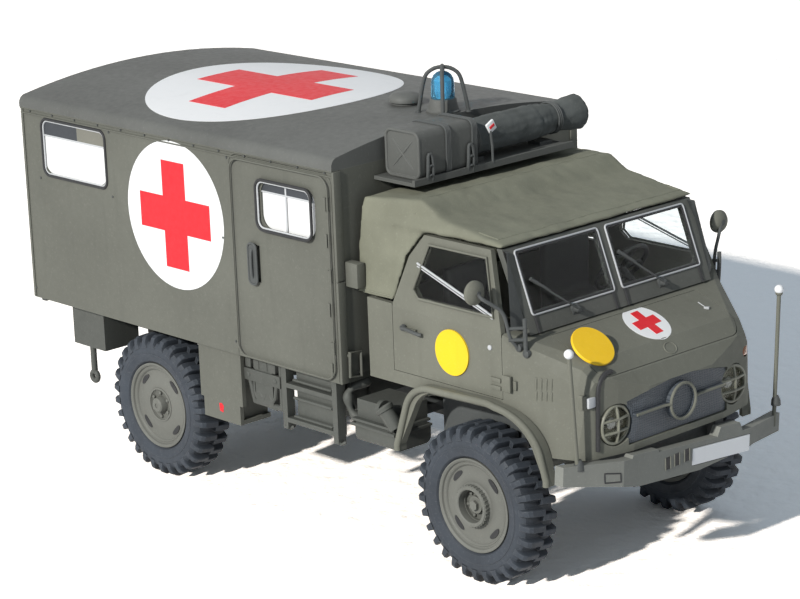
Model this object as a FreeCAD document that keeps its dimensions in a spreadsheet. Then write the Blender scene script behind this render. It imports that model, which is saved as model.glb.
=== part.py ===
import FreeCAD, Part

# A 1:35 scale model of a four-wheel military ambulance truck: a forward-control
# cab with a canvas top, and a tall box body on a ladder frame.
# Frame: +X forward, +Y to the driver's left, +Z up, millimetres.  The origin is
# on the ground under the middle of the vehicle.

import math
import os
import re
import Sketcher

Vector = FreeCAD.Vector
Rotation = FreeCAD.Rotation

doc = FreeCAD.newDocument("ambulance_truck")
sheet = doc.addObject("Spreadsheet::Sheet", "Sizes")

# ---------------------------------------------------------------- sizes
# Heights are above the ground.  A name that ends in _ahead is a distance ahead
# of the front axle, and one that ends in _back is a distance behind it.
# A name that ends in _side is a distance out from the middle plane.

SIZES = dict(
    # running gear
    wheelbase=82.9, front_overhang=23.6, rear_overhang=33.4, half_track=23.2,
    tyre_radius=13.4, tyre_width=7.4, tyre_bead_radius=8.1, tyre_shoulder=1.2,
    lug_count=24, lug_depth=1.3, lug_overlap=0.3, lug_bevel=0.9,
    rim_wall=0.8, rim_lip=0.5, rim_disc=0.9, rim_disc_inset=1.5, rim_dish=4.6, rim_dish_rise=0.7,
    rim_slot_circle=5.9, rim_slot_length=2.6, rim_slot_width=1.0, rim_slot_count=4,
    hub_radius=2.4, hub_reach=1.6, hub_flange=2.9, hub_flange_width=0.7, rear_hub_reach=0.9,
   
    spindle_radius=1.2, spindle_clearance=0.05, spindle_length=3.2, bearing_gap=0.3,
    portal_drop=3.4, portal_side=16.2, portal_radius=3.4, portal_width=2.6, portal_top=2.6,
    axle_tube_radius=1.5, differential_radius=3.6, differential_width=5.0,
    shaft_radius=0.9, gearbox_length=18.0, gearbox_width=7.0, gearbox_height=7.0,
    gearbox_low=15.6,
    # ladder frame
    rail_side=10.0, rail_width=2.0, rail_low=20.5, rail_height=3.6,
    rail_rear_margin=3.0, cross_width=2.2, cross_height=2.4,
    cross_front_ahead=17.6, cross_second_back=28.5, cross_third_back=51.5, cross_rear_ahead=10.0,
    outrigger_width=4.0, outrigger_height=1.6, curve_gap=0.05,
    cab_mount_length=2.4, cab_mount_front_ahead=3.0, cab_mount_rear_back=20.0,
    spring_radius=2.0, spring_side=14.0, spring_seat=1.0,
    # engine
    engine_front_ahead=12.0, engine_length=19.0, engine_clearance=0.3, engine_height=10.5,
    # cab shell
    cab_rear_back=24.2, cab_low=30.8, cab_side=26.0, cab_wall=1.0, belt_rear=44.6, belt_front=44,
    cowl_ahead=9.4, cowl_high=43.1, brow_ahead=18.9, brow_high=39.7, lip_ahead=21.5, lip_high=37,
    nose_ahead=22.9, nose_high=34.3, chin_ahead=22.3, chin_low=24.1,
    nose_side=20.3, nose_lean=0.8, nose_shift=-0.6, nose_corner_ahead=20.3, nose_cheek_side=14.0,
    nose_cheek_ahead=21.8,
    nose_corner_radius=4.5, shoulder_rear=0.7, shoulder_cowl=2.0, shoulder_front=3.4,
    shoulder_round=0.29, nose_bow=0.3, nose_middle_side=6.0, bonnet_reach=3.0,
    bonnet_side=17.6, bonnet_rear_ahead=10.6, bonnet_front_ahead=21.3, bonnet_corner=3.0, shut_gap=0.12,
    grille_side=12.0, grille_low=25.2, grille_high=34.3, grille_top_side=12.3, grille_top_high=32.6,
    grille_arch_side=7.5,
    grille_arch_high=33.7, grille_crown_side=2.5, grille_inset=0.4,
    grille_bar=0.55, grille_bar_high=30.0, grille_boss=0.35, grille_ring=3.2,
    cab_floor_low=32, cab_floor_thickness=0.9, floor_front_ahead=14.0,
    # wings
    wing_rear_back=14.9, wing_rear_top_back=11.3, wing_low=20.8, wing_rear_high=30.4,
    wing_front_high=31.3, wing_front_top_ahead=11.8, wing_front_ahead=13.9,
    wing_rear_radius=4.6, wing_front_radius=8.6, wing_wall=1.0, wing_side=27.5, wing_inner_side=17.6,
    wing_lip=1.9,
    # doors of the cab
    door_rear_back=18.2, door_front_ahead=7.4, door_low=33, door_head_high=56.7,
    door_head_rear_back=12.6, door_head_front_ahead=3.0, door_quarter_back=15.6, door_quarter_high=52.7,
    pane_rear_back=13.4, pane_head_rear_back=11.0, pane_head_front_ahead=2.4,
    pane_sill_front_ahead=5.4, pane_sill=46.3, pane_head=55.3, pane_sill_cut=1.4, pane_thickness=0.4,
    door_inner_side=20.0, glass_gap=0.03,
    handle_length=3.0, handle_height=0.7, handle_reach=0.5, handle_back=15.2, handle_high=40.4,
    # windscreen
    screen_base_ahead=9.8, screen_base_high=43.3, screen_top_ahead=4.6, screen_top_high=56.7,
    screen_base_side=21.9, screen_top_side=22.6, screen_thickness=1.2, screen_post=1.9,
    screen_pillar=2.4, screen_sill=3.0, screen_header=0.9, screen_corner=0.8,
    # canvas top
    canvas_wall=0.8, lean_top_side=23.2, lean_top_high=57.7, canvas_front_ahead=4.9,
    canvas_lip_high=57.7, canvas_slope_back=9.5, canvas_slope_high=59.7, canvas_hoop_back=13.5,
    canvas_hoop_high=62.1, canvas_rear_back=24.8, canvas_rear_high=61.3, canvas_low_back=25.7,
    canvas_low_front=56.85, canvas_top_reach=65.1, lean_rise=1.5, canvas_proud=0.2,
    # inside the cab
    dash_front_ahead=7.6, dash_depth=3.0, dash_low=37.6, dash_height=5.6,
    seat_back=13.5, seat_length=9.5, seat_side=11.5, seat_width=11.0, seat_cushion=3.0,
    seat_base=3.4, seat_rest_height=13.0, seat_rest_depth=2.0, seat_edge=0.7,
    steering_side=11.5, steering_radius=5.2, steering_rim=0.45, steering_back=1.2, steering_high=45.7,
    steering_rake=38, column_radius=0.6, column_length=6.2,
    # lamps, mirrors and bumper
    lamp_side=14.3, lamp_high=29.1, lamp_radius=3.4, lamp_reach=0.9, lamp_depth=1.6, guard_band=0.5,
    guard_depth=0.6, lamp_rim=0.6, turn_length=3.6,
    turn_side=18.4, turn_high=33.6, turn_radius=0.8, turn_reach=0.7,
    mirror_side=29.5, mirror_high=50.8, mirror_ahead=5.3, mirror_radius=1.9, mirror_thickness=0.9,
    mirror_elbow=2.0, mirror_boss=0.7, mirror_arm=0.4, mirror_foot_side=23.3, mirror_foot_high=42.7,
    mirror_foot_ahead=8.9,
    bumper_low=17.5, bumper_high=22.4, bumper_depth=1.8, bumper_side=27.3, bumper_short=1.3, bumper_sweep=3.4,
    bumper_bend_side=15.5, bumper_hump_high=23.4, bumper_hump_in=7.2, bumper_hump_out=13.6,
    bumper_wall=0.7, bumper_channel=2.8, bumper_channel_side=11.5, bumper_turn_high=20.35,
    bumper_tilt=4.3, bumper_rise=2.4, bumper_end_low=19.2,
    bumper_dip_in=3.0, bumper_dip_out=12.0, bumper_side_low=18.3, bumper_far_low=19.4,
    bumper_face_side=17.0, bumper_uneven=0.5, rod_ahead=20.6,
    plate_side=1.1, plate_length=14.4, plate_low=18.6, plate_height=2.8, plate_thickness=0.3,
    rod_foot_side=24.1, rod_tip_side=25.6, rod_shift=1.2, rod_uneven=0.5, rod_foot_rise=1.8,
    rod_radius=0.35, rod_high=42.3, rod_ball=0.65,
    # box body
    box_front_back=28.0, box_side=29.0, box_low=29.1, box_eave=66.1, box_wall=1.2, box_floor=1.2,
    roof_rise=4.9, roof_radius=146.0, roof_wall=1.2, roof_edge=1.6, roof_rim=0.4, roof_corner=1.6,
    side_window_margin=6.2, side_window_length=19.1, side_window_low=54.2, side_window_high=64.5,
    window_corner=2.4, seal_proud=0.3, window_glass=0.5,
    side_door_margin=0.6, side_door_length=26.6, side_door_corner=2.0, side_door_head=0.5,
    door_gap=0.12,
    door_window_margin=5.0, door_window_length=13.9, door_window_low=53.5, door_window_high=62,
    recess_margin=20.0, recess_length=2.6, recess_low=43.5, recess_height=6.6, recess_depth=0.7,
    hinge_radius=0.55, hinge_length=2.0, hinge_margin=1.0, hinge_low=34.3, hinge_middle=46.9,
    hinge_high=59.3,
    rear_door_frame=2.6, rear_door_sill=1.4, rear_door_head=1.8, rear_window_width=13.0,
    rear_window_margin=5.6, rear_window_low=51.6, rear_window_high=62, latch_length=5.5,
    latch_reach=0.6, latch_high=47.1, latch_margin=1.5,
    bearer_width=2.4, bearer_side=20.0, bearer_count=5, bearer_margin=3.0,
   
    # on and under the box
    vent_radius=3.0, vent_height=1.5, vent_back=41.0, vent_neck=2.2, vent_neck_height=0.7,
    beacon_back=31.0, beacon_side=0.5, beacon_base=2.0, beacon_base_height=2.4, beacon_radius=1.9,
    beacon_height=4.7, cage_wire=0.35, cage_rise=8.3, cage_half=4.0, cage_bend=2.4, cage_turn=20,
    rack_low=63.1, rack_right=20.0, rack_left=18.0, cradle_width=3.0, cradle_reach=0.6, rack_shelf=0.6,
    rack_front_back=18.0, rack_lip=0.5, rack_gap=0.1,
    can_side=18.3, can_length=13.2, can_low_gap=0.1, can_height=8.0, can_depth=8.0, can_edge=0.9,
    tarp_inner_side=4.7, tarp_outer_side=24.3, tarp_radius=3.3, tarp_gap=1.4,
    tank_front_back=17.4, tank_rear_back=27.5, tank_low=18.8, tank_height=7.4, tank_side=27.0,
    tank_width=8.1, tank_edge=1.2, tank_seam_high=22.6, tank_seam=0.4, tank_seam_lip=0.4,
    tank_shelf=0.7,
    filler_foot_back=18.6, filler_foot_high=22, filler_back=21.2, filler_high=25.5, filler_inset=1.2,
    filler_radius=1.25, filler_cap=1.45, filler_cap_length=0.8,
   
    step_front_back=30.6, step_rear_back=44.9, step_low=17.7, step_side=28.2,
    step_bar=1.2, step_depth=1.8, step_rail=0.8, step_upper_high=25.3, step_lower_high=19,
    step_panel_margin=2.4,
    step_panel_inset=1.4, step_panel=0.6,
    panel_front_back=55.9, panel_tyre_gap=2.0, panel_low=19.1, panel_side=28.2, panel_thickness=0.8,
    shelf_low=15.5, shelf_depth=7.0, shelf_thickness=0.8,
    locker_margin=8.2, locker_length=9.6, locker_low=20.9, locker_side=26.4, locker_width=8.0,
    hook_radius=0.6, hook_low=15, hook_ring=0.9, hook_ring_wire=0.5, hook_in=0.7,
    bracket_front_back=47.2, bracket_rear_back=56.4, bracket_bar_low=24.4, bracket_bar_height=1.9,
    bracket_bar=1.0,
    bracket_block_rear_back=53.2, bracket_block_length=4.6, bracket_block_low=20.5, bracket_block=2.4,
    bracket_tube_radius=0.5, bracket_tube_low=20.4, bracket_tube_back=46.6, bracket_tube_end_back=54.0,
    bracket_side=27.2,
   
)

for row, (name, number) in enumerate(SIZES.items(), start=1):
    sheet.set(f"A{row}", name)
    sheet.set(f"B{row}", str(number))
    sheet.setAlias(f"B{row}", name)
doc.recompute()

# Places along the vehicle that follow from the sizes.
HALF_LENGTH = "(rear_overhang + wheelbase + front_overhang)/2"
FRONT_AXLE = f"({HALF_LENGTH} - front_overhang)"
REAR_AXLE = f"({FRONT_AXLE} - wheelbase)"
BOX_REAR = f"(latch_reach - {HALF_LENGTH})"
BOX_FRONT = f"({FRONT_AXLE} - box_front_back)"
ROOF_CROWN = "(box_eave + roof_rise)"
CAGE_HIGH = f"({ROOF_CROWN} + cage_rise)"


# ---------------------------------------------------------------- helpers
def sized(text):
    """Turn plain size names into references to the sheet's cells."""
    return re.sub(r"[a-z_]+", lambda word: "Sizes." + word[0] if word[0] in SIZES else word[0], text)


def value(text):
    """Give what an expression of sizes comes to, in millimetres or degrees."""
    return float(sheet.evalExpression(sized(text)))


def ahead(text):
    return f"({FRONT_AXLE} + ({text}))"


def back(text):
    return f"({FRONT_AXLE} - ({text}))"


def mid(name):
    """Span of a width across the middle plane, from its half width."""
    return (f"-({name})", name)


def place(thing, x="0", y="0", z="0"):
    for axis, text in zip("xyz", (x, y, z)):
        thing.setExpression("Placement.Base." + axis, sized(text))
    return thing


def block(x, y, z):
    """Box between two places along each axis."""
    box = doc.addObject("Part::Box", "block")
    for size, (low, high) in zip(("Length", "Width", "Height"), (x, y, z)):
        box.setExpression(size, sized(f"({high}) - ({low})"))
    return place(box, x[0], y[0], z[0])


ALONG = {"x": Rotation(Vector(0, 1, 0), 90), "y": Rotation(Vector(1, 0, 0), -90), "z": Rotation()}


def rod(axis, span, centre, radius):
    """Cylinder along one axis; centre gives the other two places in x, y, z order."""
    shaft = doc.addObject("Part::Cylinder", "rod")
    shaft.setExpression("Radius", sized(radius))
    shaft.setExpression("Height", sized(f"({span[1]}) - ({span[0]})"))
    shaft.Placement.Rotation = ALONG[axis]
    where = list(centre)
    where.insert("xyz".index(axis), span[0])
    return place(shaft, *where)


def cone(axis, start, length, centre, radius, end_radius):
    body = doc.addObject("Part::Cone", "cone")
    body.setExpression("Radius1", sized(radius))
    body.setExpression("Radius2", sized(end_radius))
    body.setExpression("Height", sized(length))
    body.Placement.Rotation = ALONG[axis]
    where = list(centre)
    where.insert("xyz".index(axis), start)
    return place(body, *where)


def ball(centre, radius):
    sphere = doc.addObject("Part::Sphere", "ball")
    sphere.setExpression("Radius", sized(radius))
    return place(sphere, *centre)


def ring(axis, centre, radius, wire):
    hoop = doc.addObject("Part::Torus", "ring")
    hoop.setExpression("Radius1", sized(radius))
    hoop.setExpression("Radius2", sized(wire))
    hoop.Placement.Rotation = ALONG[axis]
    return place(hoop, *centre)


PLANES = {
    "xy": (Rotation(), Vector(0, 0, 1), "z"),
    "xz": (Rotation(Vector(1, 0, 0), 90), Vector(0, 1, 0), "y"),
    "yz": (Rotation(Vector(0, 1, 0), Vector(0, 0, 1), Vector(1, 0, 0), "ZXY"), Vector(1, 0, 0), "x"),
}


def flat_outline(plane, where, points):
    """Closed sketch of straight edges on a plane."""
    rotation, _, across = PLANES[plane]
    sketch = doc.addObject("Sketcher::SketchObject", "outline")
    corners = [Vector(value(a), value(b), 0) for a, b in points]
    for start, end in zip(corners, corners[1:] + corners[:1]):
        sketch.addGeometry(Part.LineSegment(start, end), False)
    for number, texts in enumerate(points):
        after = (number + 1) % len(points)
        sketch.addConstraint(Sketcher.Constraint("Coincident", number, 2, after, 1))
        for kind, text in zip(("DistanceX", "DistanceY"), texts):
            fixed = Sketcher.Constraint(kind, -1, 1, number, 1, value(text))
            index = sketch.addConstraint(fixed)
            sketch.setExpression(f"Constraints[{index}]", sized(text))
    sketch.Placement.Rotation = rotation
    return place(sketch, **{across: where})


def outline(plane, span, points):
    """Outline on a plane, made solid over the span across it."""
    prism = doc.addObject("Part::Extrusion", "prism")
    prism.Base = flat_outline(plane, span[0], points)
    prism.DirMode = "Custom"
    prism.Dir = PLANES[plane][1]
    prism.Solid = True
    prism.setExpression("LengthFwd", sized(f"({span[1]}) - ({span[0]})"))
    return prism


def fuse(*shapes):
    joined = doc.addObject("Part::MultiFuse", "fuse")
    joined.Shapes = list(shapes)
    return joined


def cut(base, *tools):
    result = doc.addObject("Part::Cut", "cut")
    result.Base = base
    result.Tool = tools[0] if len(tools) == 1 else fuse(*tools)
    return result


def common(*shapes):
    result = doc.addObject("Part::MultiCommon", "common")
    result.Shapes = list(shapes)
    return result


def mirrored(shape):
    """The same piece on the other side of the middle plane."""
    other = doc.addObject("Part::Mirroring", "mirror")
    other.Source = shape
    other.Normal = Vector(0, 1, 0)
    return other


def both(*shapes):
    """Pieces of one node that lie apart from each other."""
    group = doc.addObject("Part::Compound", "group")
    group.Links = list(shapes)
    return group


def rounded(base, radius, chosen):
    """Fillet the edges that a test picks."""
    doc.recompute()
    fillet = doc.addObject("Part::Fillet", "fillet")
    fillet.Base = base
    size = value(radius)
    fillet.Edges = [(number, size, size)
                    for number, edge in enumerate(base.Shape.Edges, start=1) if chosen(edge)]
    return fillet


def runs_along(axis):
    """Test for straight edges that run along one axis."""
    number = "xyz".index(axis)

    def test(edge):
        way = edge.Vertexes[-1].Point - edge.Vertexes[0].Point
        return way.Length > 0 and abs(way[number]) > 0.999*way.Length
    return test


def near(axis, places, reach=0.05):
    """Test for edges along an axis that pass through one of the places across it."""
    others = [number for number in range(3) if number != "xyz".index(axis)]
    along = runs_along(axis)
    spots = [(value(first), value(second)) for first, second in places]

    def test(edge):
        spot = edge.Vertexes[0].Point
        return along(edge) and any(abs(spot[others[0]] - first) < reach
                                   and abs(spot[others[1]] - second) < reach
                                   for first, second in spots)
    return test


def soft_block(x, y, z, axis, radius):
    """Box with the four edges along one axis rounded."""
    return rounded(block(x, y, z), radius, runs_along(axis))


nodes = []


def node(name, shape):
    shape.Label = name
    nodes.append(shape)
    return shape


def strut(start, end, radius):
    """Round bar between two places given as x, y, z texts."""
    first = Vector(*[value(text) for text in start])
    last = Vector(*[value(text) for text in end])
    bar = doc.addObject("Part::Feature", "strut")
    bar.Shape = Part.makeCylinder(value(radius), (last - first).Length, first, last - first)
    return bar


# ---------------------------------------------------------------- wheels
AXLE_HIGH = "tyre_radius"
TUBE_HIGH = "(tyre_radius + portal_drop)"


def tyre_shape():
    """Carcass of flats, with a lug on every other flat of each half and the halves staggered."""
    half = value("tyre_width")/2
    overlap = value("lug_overlap")
    outer = value("tyre_radius")
    carcass = outer - value("lug_depth")
    side = carcass - value("tyre_shoulder")
    # Radius and reach along the axle, from the side with the lug to the side without.
    section = [(side, half), (outer, half - value("lug_bevel")), (outer, overlap), (outer, -overlap),
               (carcass, -overlap), (carcass, value("tyre_shoulder") - half), (side, -half)]
    wall = section[:3] + [(carcass, overlap), (carcass, half - value("tyre_shoulder"))]
    sectors = 2*int(value("lug_count"))
    across_flats = 1/math.cos(math.pi/sectors)

    def corner(number, way, radius, reach):
        """Point on the boundary before a sector; the flat of sector 0 rests on the ground."""
        down = Vector(0, way*reach, -radius*across_flats)
        return Rotation(Vector(0, 1, 0), (number - 0.5)*360/sectors).multVec(down)

    def facet(corners):
        return Part.Face(Part.makePolygon(corners + corners[:1]))

    faces = []
    for number in range(sectors):
        way = -1 if number % 2 == 0 else 1
        for start, end in zip(section, section[1:]):
            faces.append(facet([corner(number, way, *start), corner(number, way, *end),
                                corner(number + 1, way, *end), corner(number + 1, way, *start)]))
    for way in (-1, 1):
        for number in range(sectors):
            faces.append(facet([corner(number, way, *point) for point in wall]))
        faces.append(facet([corner(number, way, side, half) for number in range(sectors)]))
    shell = Part.makeShell(faces)
    shell.sewShape()
    body = Part.makeSolid(shell)
    if body.Volume < 0:
        body.reverse()
    bore = Part.makeCylinder(value("tyre_bead_radius"), 2*half, Vector(0, -half, 0), Vector(0, 1, 0))
    return body.cut(bore).removeSplitter()


def wheel_rim(hub_reach):
    """Right-hand rim: barrel with lips, dished disc with slots, and hub with its bore."""
    half = "(tyre_width/2 - rim_lip)"
    face = f"(-{half} + rim_disc_inset)"
    bead = "(tyre_bead_radius - spindle_clearance)"
    barrel = cut(rod("y", (f"-{half}", half), ("0", "0"), bead),
                 rod("y", (f"-{half}", half), ("0", "0"), "tyre_bead_radius - rim_wall"))
    disc = rod("y", (face, f"{face} + rim_disc"), ("0", "0"), f"{bead} - rim_wall/2")
    dish = rod("y", (f"{face} - rim_dish_rise", face), ("0", "0"), "rim_dish")
    inner_end = "half_track - (portal_side + portal_width) - bearing_gap"
    hub = rod("y", (f"{face} - rim_dish_rise - {hub_reach}", inner_end), ("0", "0"), "hub_radius")
    flange = rod("y", (f"{face} - rim_dish_rise - {hub_reach}",
                       f"{face} - rim_dish_rise - {hub_reach} + hub_flange_width"),
                 ("0", "0"), "hub_flange")
    bore = rod("y", (f"{inner_end} - spindle_length", inner_end), ("0", "0"),
               "spindle_radius + spindle_clearance")
    slots = []
    for number in range(int(value("rim_slot_count"))):
        slot = block(("rim_slot_circle - rim_slot_width/2", "rim_slot_circle + rim_slot_width/2"),
                     (face, f"{face} + rim_disc"), ("-rim_slot_length/2", "rim_slot_length/2"))
        turned = doc.addObject("Part::Compound", "slot")
        turned.Links = [slot]
        turned.Placement.Rotation = Rotation(Vector(0, 1, 0), 45 + number*360/value("rim_slot_count"))
        slots.append(turned)
    return cut(fuse(barrel, disc, dish, hub, flange), bore, *slots)


def make_wheels():
    rubber = tyre_shape()
    for end, axle, reach in (("front", FRONT_AXLE, "hub_reach"), ("rear", REAR_AXLE, "rear_hub_reach")):
        rim = wheel_rim(reach)
        for side, way in (("right", "-1"), ("left", "1")):
            centre = dict(x=axle, y=f"{way}*half_track", z=AXLE_HIGH)
            tyre = doc.addObject("Part::Feature", "tyre")
            tyre.Shape = rubber.copy()
            node(f"tyre_{end}_{side}", place(tyre, **centre))
            wheel = doc.addObject("Part::Compound", "rim")
            wheel.Links = [rim]
            wheel.Placement.Rotation = Rotation(Vector(0, 0, 1), 180 if side == "left" else 0)
            node(f"rim_{end}_{side}", place(wheel, **centre))


# ---------------------------------------------------------------- running gear
def axle(name, where):
    """Portal axle: tube and differential above the wheel centres, and a spindle for each wheel."""
    tube = rod("y", mid("portal_side + portal_width/2"), (where, TUBE_HIGH), "axle_tube_radius")
    middle = rod("y", mid("differential_width/2"), (where, TUBE_HIGH), "differential_radius")
    face = "(portal_side + portal_width)"
    ends = []
    for low, high, tip in (("portal_side", face, f"{face} + spindle_length"),
                           (f"-{face}", "-portal_side", f"-{face} - spindle_length")):
        ends.append(rod("y", (low, high), (where, AXLE_HIGH), "portal_radius"))
        ends.append(rod("y", (low, high), (where, TUBE_HIGH), "portal_top"))
        spindle = sorted((low if tip[0] == "-" else high, tip), key=value)
        ends.append(rod("y", spindle, (where, AXLE_HIGH), "spindle_radius"))
    return node(name, fuse(tube, middle, *ends))


RAIL_TOP = "(rail_low + rail_height)"
RAIL_OUT = "(rail_side + rail_width/2)"


def chassis_frame():
    """Two rails joined by cross members, with cab mounts, spring seats and outriggers."""
    rear = f"{BOX_REAR} + rail_rear_margin"
    front = ahead("front_overhang - bumper_depth - shut_gap")
    pieces = [block((rear, front), (f"{way}*rail_side - rail_width/2", f"{way}*rail_side + rail_width/2"),
                    ("rail_low", RAIL_TOP)) for way in ("-1", "1")]
    cross = ("(rail_low + 0.1*rail_height)", "(rail_low + 0.1*rail_height + cross_height)")
    for place_x in (ahead("cross_front_ahead"), back("cross_second_back"), back("cross_third_back"),
                    f"{REAR_AXLE} + cross_rear_ahead", f"{BOX_REAR} + rail_rear_margin"):
        pieces.append(block((place_x, f"{place_x} + cross_width"), mid("rail_side"), cross))
    for where in (ahead("cab_mount_front_ahead"), back("cab_mount_rear_back")):
        for low, high in (("rail_side - rail_width/2", RAIL_OUT), (f"-{RAIL_OUT}", "rail_width/2 - rail_side")):
            pieces.append(block((where, f"{where} + cab_mount_length"), (low, high),
                                (RAIL_TOP, "cab_floor_low")))
    for where in (FRONT_AXLE, REAR_AXLE):
        reach = "(spring_side + spring_radius)"
        for low, high in (("rail_side", reach), (f"-{reach}", "-rail_side")):
            pieces.append(block((f"{where} - spring_radius", f"{where} + spring_radius"), (low, high),
                                (f"{RAIL_TOP} - spring_seat", RAIL_TOP)))
    middle = back("(tank_front_back + tank_rear_back)/2")
    reach = "(tank_side - tank_width)"
    for low, high in (("rail_side", reach), (f"-{reach}", "-rail_side")):
        pieces.append(block((f"{middle} - outrigger_width/2", f"{middle} + outrigger_width/2"), (low, high),
                            (f"{RAIL_TOP} - outrigger_height", RAIL_TOP)))
    return node("chassis_frame", fuse(*pieces))


def coil_springs():
    """Four springs between the axle tubes and the seats on the rails."""
    springs = []
    for where in (FRONT_AXLE, REAR_AXLE):
        for way in ("-1", "1"):
            springs.append(rod("z", (f"{TUBE_HIGH} + axle_tube_radius + curve_gap",
                                     f"{RAIL_TOP} - spring_seat"),
                               (where, f"{way}*spring_side"), "spring_radius"))
    return node("coil_springs", both(*springs))


def engine_block():
    rear = back("engine_length - engine_front_ahead")
    low = f"{TUBE_HIGH} + differential_radius + engine_clearance"
    return node("engine_block", block((rear, ahead("engine_front_ahead")),
                                      mid("rail_side - rail_width/2 - shut_gap"),
                                      (low, f"{low} + engine_height")))


def driveline():
    """Gearbox behind the engine with a shaft to each differential."""
    gear_front = back("engine_length - engine_front_ahead + shut_gap")
    box = block((f"{gear_front} - gearbox_length", gear_front), mid("gearbox_width/2"),
                ("gearbox_low", "gearbox_low + gearbox_height"))
    rear_shaft = rod("x", (f"{REAR_AXLE} + differential_radius + curve_gap",
                           f"{gear_front} - gearbox_length"), ("0", TUBE_HIGH), "shaft_radius")
    front_shaft = rod("x", (gear_front, f"{FRONT_AXLE} - differential_radius - curve_gap"),
                      ("0", TUBE_HIGH), "shaft_radius")
    return node("driveline", fuse(box, rear_shaft, front_shaft))


# ---------------------------------------------------------------- cab shell
def cab_side_points(wall, open_top):
    """Side view of the lower cab and nose, drawn in by a wall."""
    top_rear = "screen_top_high" if open_top else "belt_rear"
    top_front = "screen_top_high" if open_top else "belt_front"
    cowl = f"cowl_ahead - {wall}"
    points = [(back(f"cab_rear_back - {wall}"), "chin_low" if not open_top else "chin_low - cab_wall"),
              (back(f"cab_rear_back - {wall}"), top_rear)]
    if open_top:
        points += [(ahead(cowl), top_front), (ahead(cowl), f"cowl_high - {wall}")]
    else:
        points += [(ahead("door_front_ahead"), top_front), (ahead("cowl_ahead"), "cowl_high")]
    points += [(ahead(f"brow_ahead - 0.5*({wall})"), f"brow_high - 0.9*({wall})"),
               (ahead(f"lip_ahead - 0.8*({wall})"), f"lip_high - 0.6*({wall})"),
               (ahead(f"nose_ahead - {wall}"), f"nose_high - 0.2*({wall})"),
               (ahead(f"chin_ahead - {wall}"), "chin_low" if not open_top else "chin_low - cab_wall")]
    return points


def cab_plan_points(wall):
    """Plan of the cab and the bowed nose, drawn in by a wall."""
    half = [(back(f"cab_rear_back - {wall}"), f"cab_side - {wall}", "0"),
            (ahead("door_front_ahead"), f"cab_side - {wall}", "0"),
            (ahead(f"nose_corner_ahead - {wall}"), f"nose_side - {wall}", "nose_shift"),
            (ahead(f"nose_cheek_ahead - {wall}"), "nose_cheek_side", "nose_shift"),
            (ahead(f"nose_ahead + nose_bow - {wall}"), "nose_middle_side", "nose_shift")]
    right = [(x, f"{shift} - ({side})") for x, side, shift in half]
    left = [(x, f"{shift} + ({side})") for x, side, shift in reversed(half)]
    return right + left


# Cross sections of the nose: distance ahead of the front axle, height of its top,
# how far the rounded shoulder reaches in from the side and down from the top, how
# far the side leans in below the shoulder, and how far off the middle plane it sits.
NOSE_SECTIONS = (
    ("door_front_ahead", "belt_front", "shoulder_rear", "0", "0"),
    ("cowl_ahead", "cowl_high", "shoulder_cowl", "0", "0"),
    ("brow_ahead", "brow_high", "shoulder_front", "nose_lean", "nose_shift"),
    ("lip_ahead", "lip_high", "shoulder_front", "nose_lean", "nose_shift"),
    ("nose_ahead", "nose_high", "shoulder_front", "nose_lean", "nose_shift"),
)


def nose_loft(wall):
    """Nose with rounded shoulders, drawn in by a wall; its plan and side view trim it further."""
    taper = "(cab_side - nose_side)/(nose_corner_ahead - door_front_ahead)"
    sections = []
    for where, top, shoulder, lean, shift in NOSE_SECTIONS:
        foot = f"(cab_side - ({where} - door_front_ahead)*{taper} - {wall})"
        side = f"({foot} - {lean})"
        top = f"({top} - {wall})"
        half = [(foot, "chin_low - cab_wall"), (side, f"{top} - {shoulder}"),
                (f"{side} - shoulder_round*{shoulder}", f"{top} - shoulder_round*{shoulder}"),
                (f"{side} - {shoulder}", top)]
        whole = [(f"{shift} - ({y})", z) for y, z in half] + [(f"{shift} + ({y})", z) for y, z in half[::-1]]
        sections.append(flat_outline("yz", ahead(where), whole))
    loft = doc.addObject("Part::Loft", "nose")
    loft.Sections = sections
    loft.Solid = True
    loft.Ruled = True
    return loft


def cab_solid(wall, open_top):
    plan = outline("xy", ("chin_low - cab_wall", "screen_top_high"), cab_plan_points(wall))
    corner = ahead(f"nose_corner_ahead - {wall}")
    corners = [(corner, f"nose_shift + (nose_side - {wall})"), (corner, f"nose_shift - (nose_side - {wall})")]
    plan = rounded(plan, f"nose_corner_radius - {wall}", near("z", corners))
    side = outline("xz", mid("cab_side"), cab_side_points(wall, open_top))
    rear = block((back("cab_rear_back"), ahead("door_front_ahead")), mid("cab_side"),
                 ("chin_low - cab_wall", "screen_top_high"))
    return common(plan, side, fuse(rear, nose_loft(wall)))


def wing_points(wall):
    """Side view of the wheel arch, drawn in by the wing's wall."""
    return [(back(f"wing_rear_back - {wall}"), "wing_low - wing_wall"),
            (back(f"wing_rear_back - {wall}"), "wing_low"),
            (back(f"wing_rear_top_back - 0.8*({wall})"), f"wing_rear_high - {wall}"),
            (ahead(f"wing_front_top_ahead - 0.7*({wall})"), f"wing_front_high - {wall}"),
            (ahead(f"wing_front_ahead - {wall}"), "wing_low"),
            (ahead(f"wing_front_ahead - {wall}"), "wing_low - wing_wall")]


def wing_solid(wall, span):
    points = wing_points(wall)
    arch = outline("xz", span, points)
    arch = rounded(arch, f"wing_rear_radius - {wall}", near("y", [points[2]]))
    return rounded(arch, f"wing_front_radius - {wall}", near("y", [points[3]]))


def bonnet_points(gap):
    """Plan of the hatch in the nose's top, drawn in by a gap."""
    right, left = f"nose_shift - (bonnet_side - {gap})", f"nose_shift + (bonnet_side - {gap})"
    rear, front = ahead(f"bonnet_rear_ahead + {gap}"), ahead(f"bonnet_front_ahead - {gap}")
    return [(rear, right), (front, right), (front, left), (rear, left)]


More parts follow.
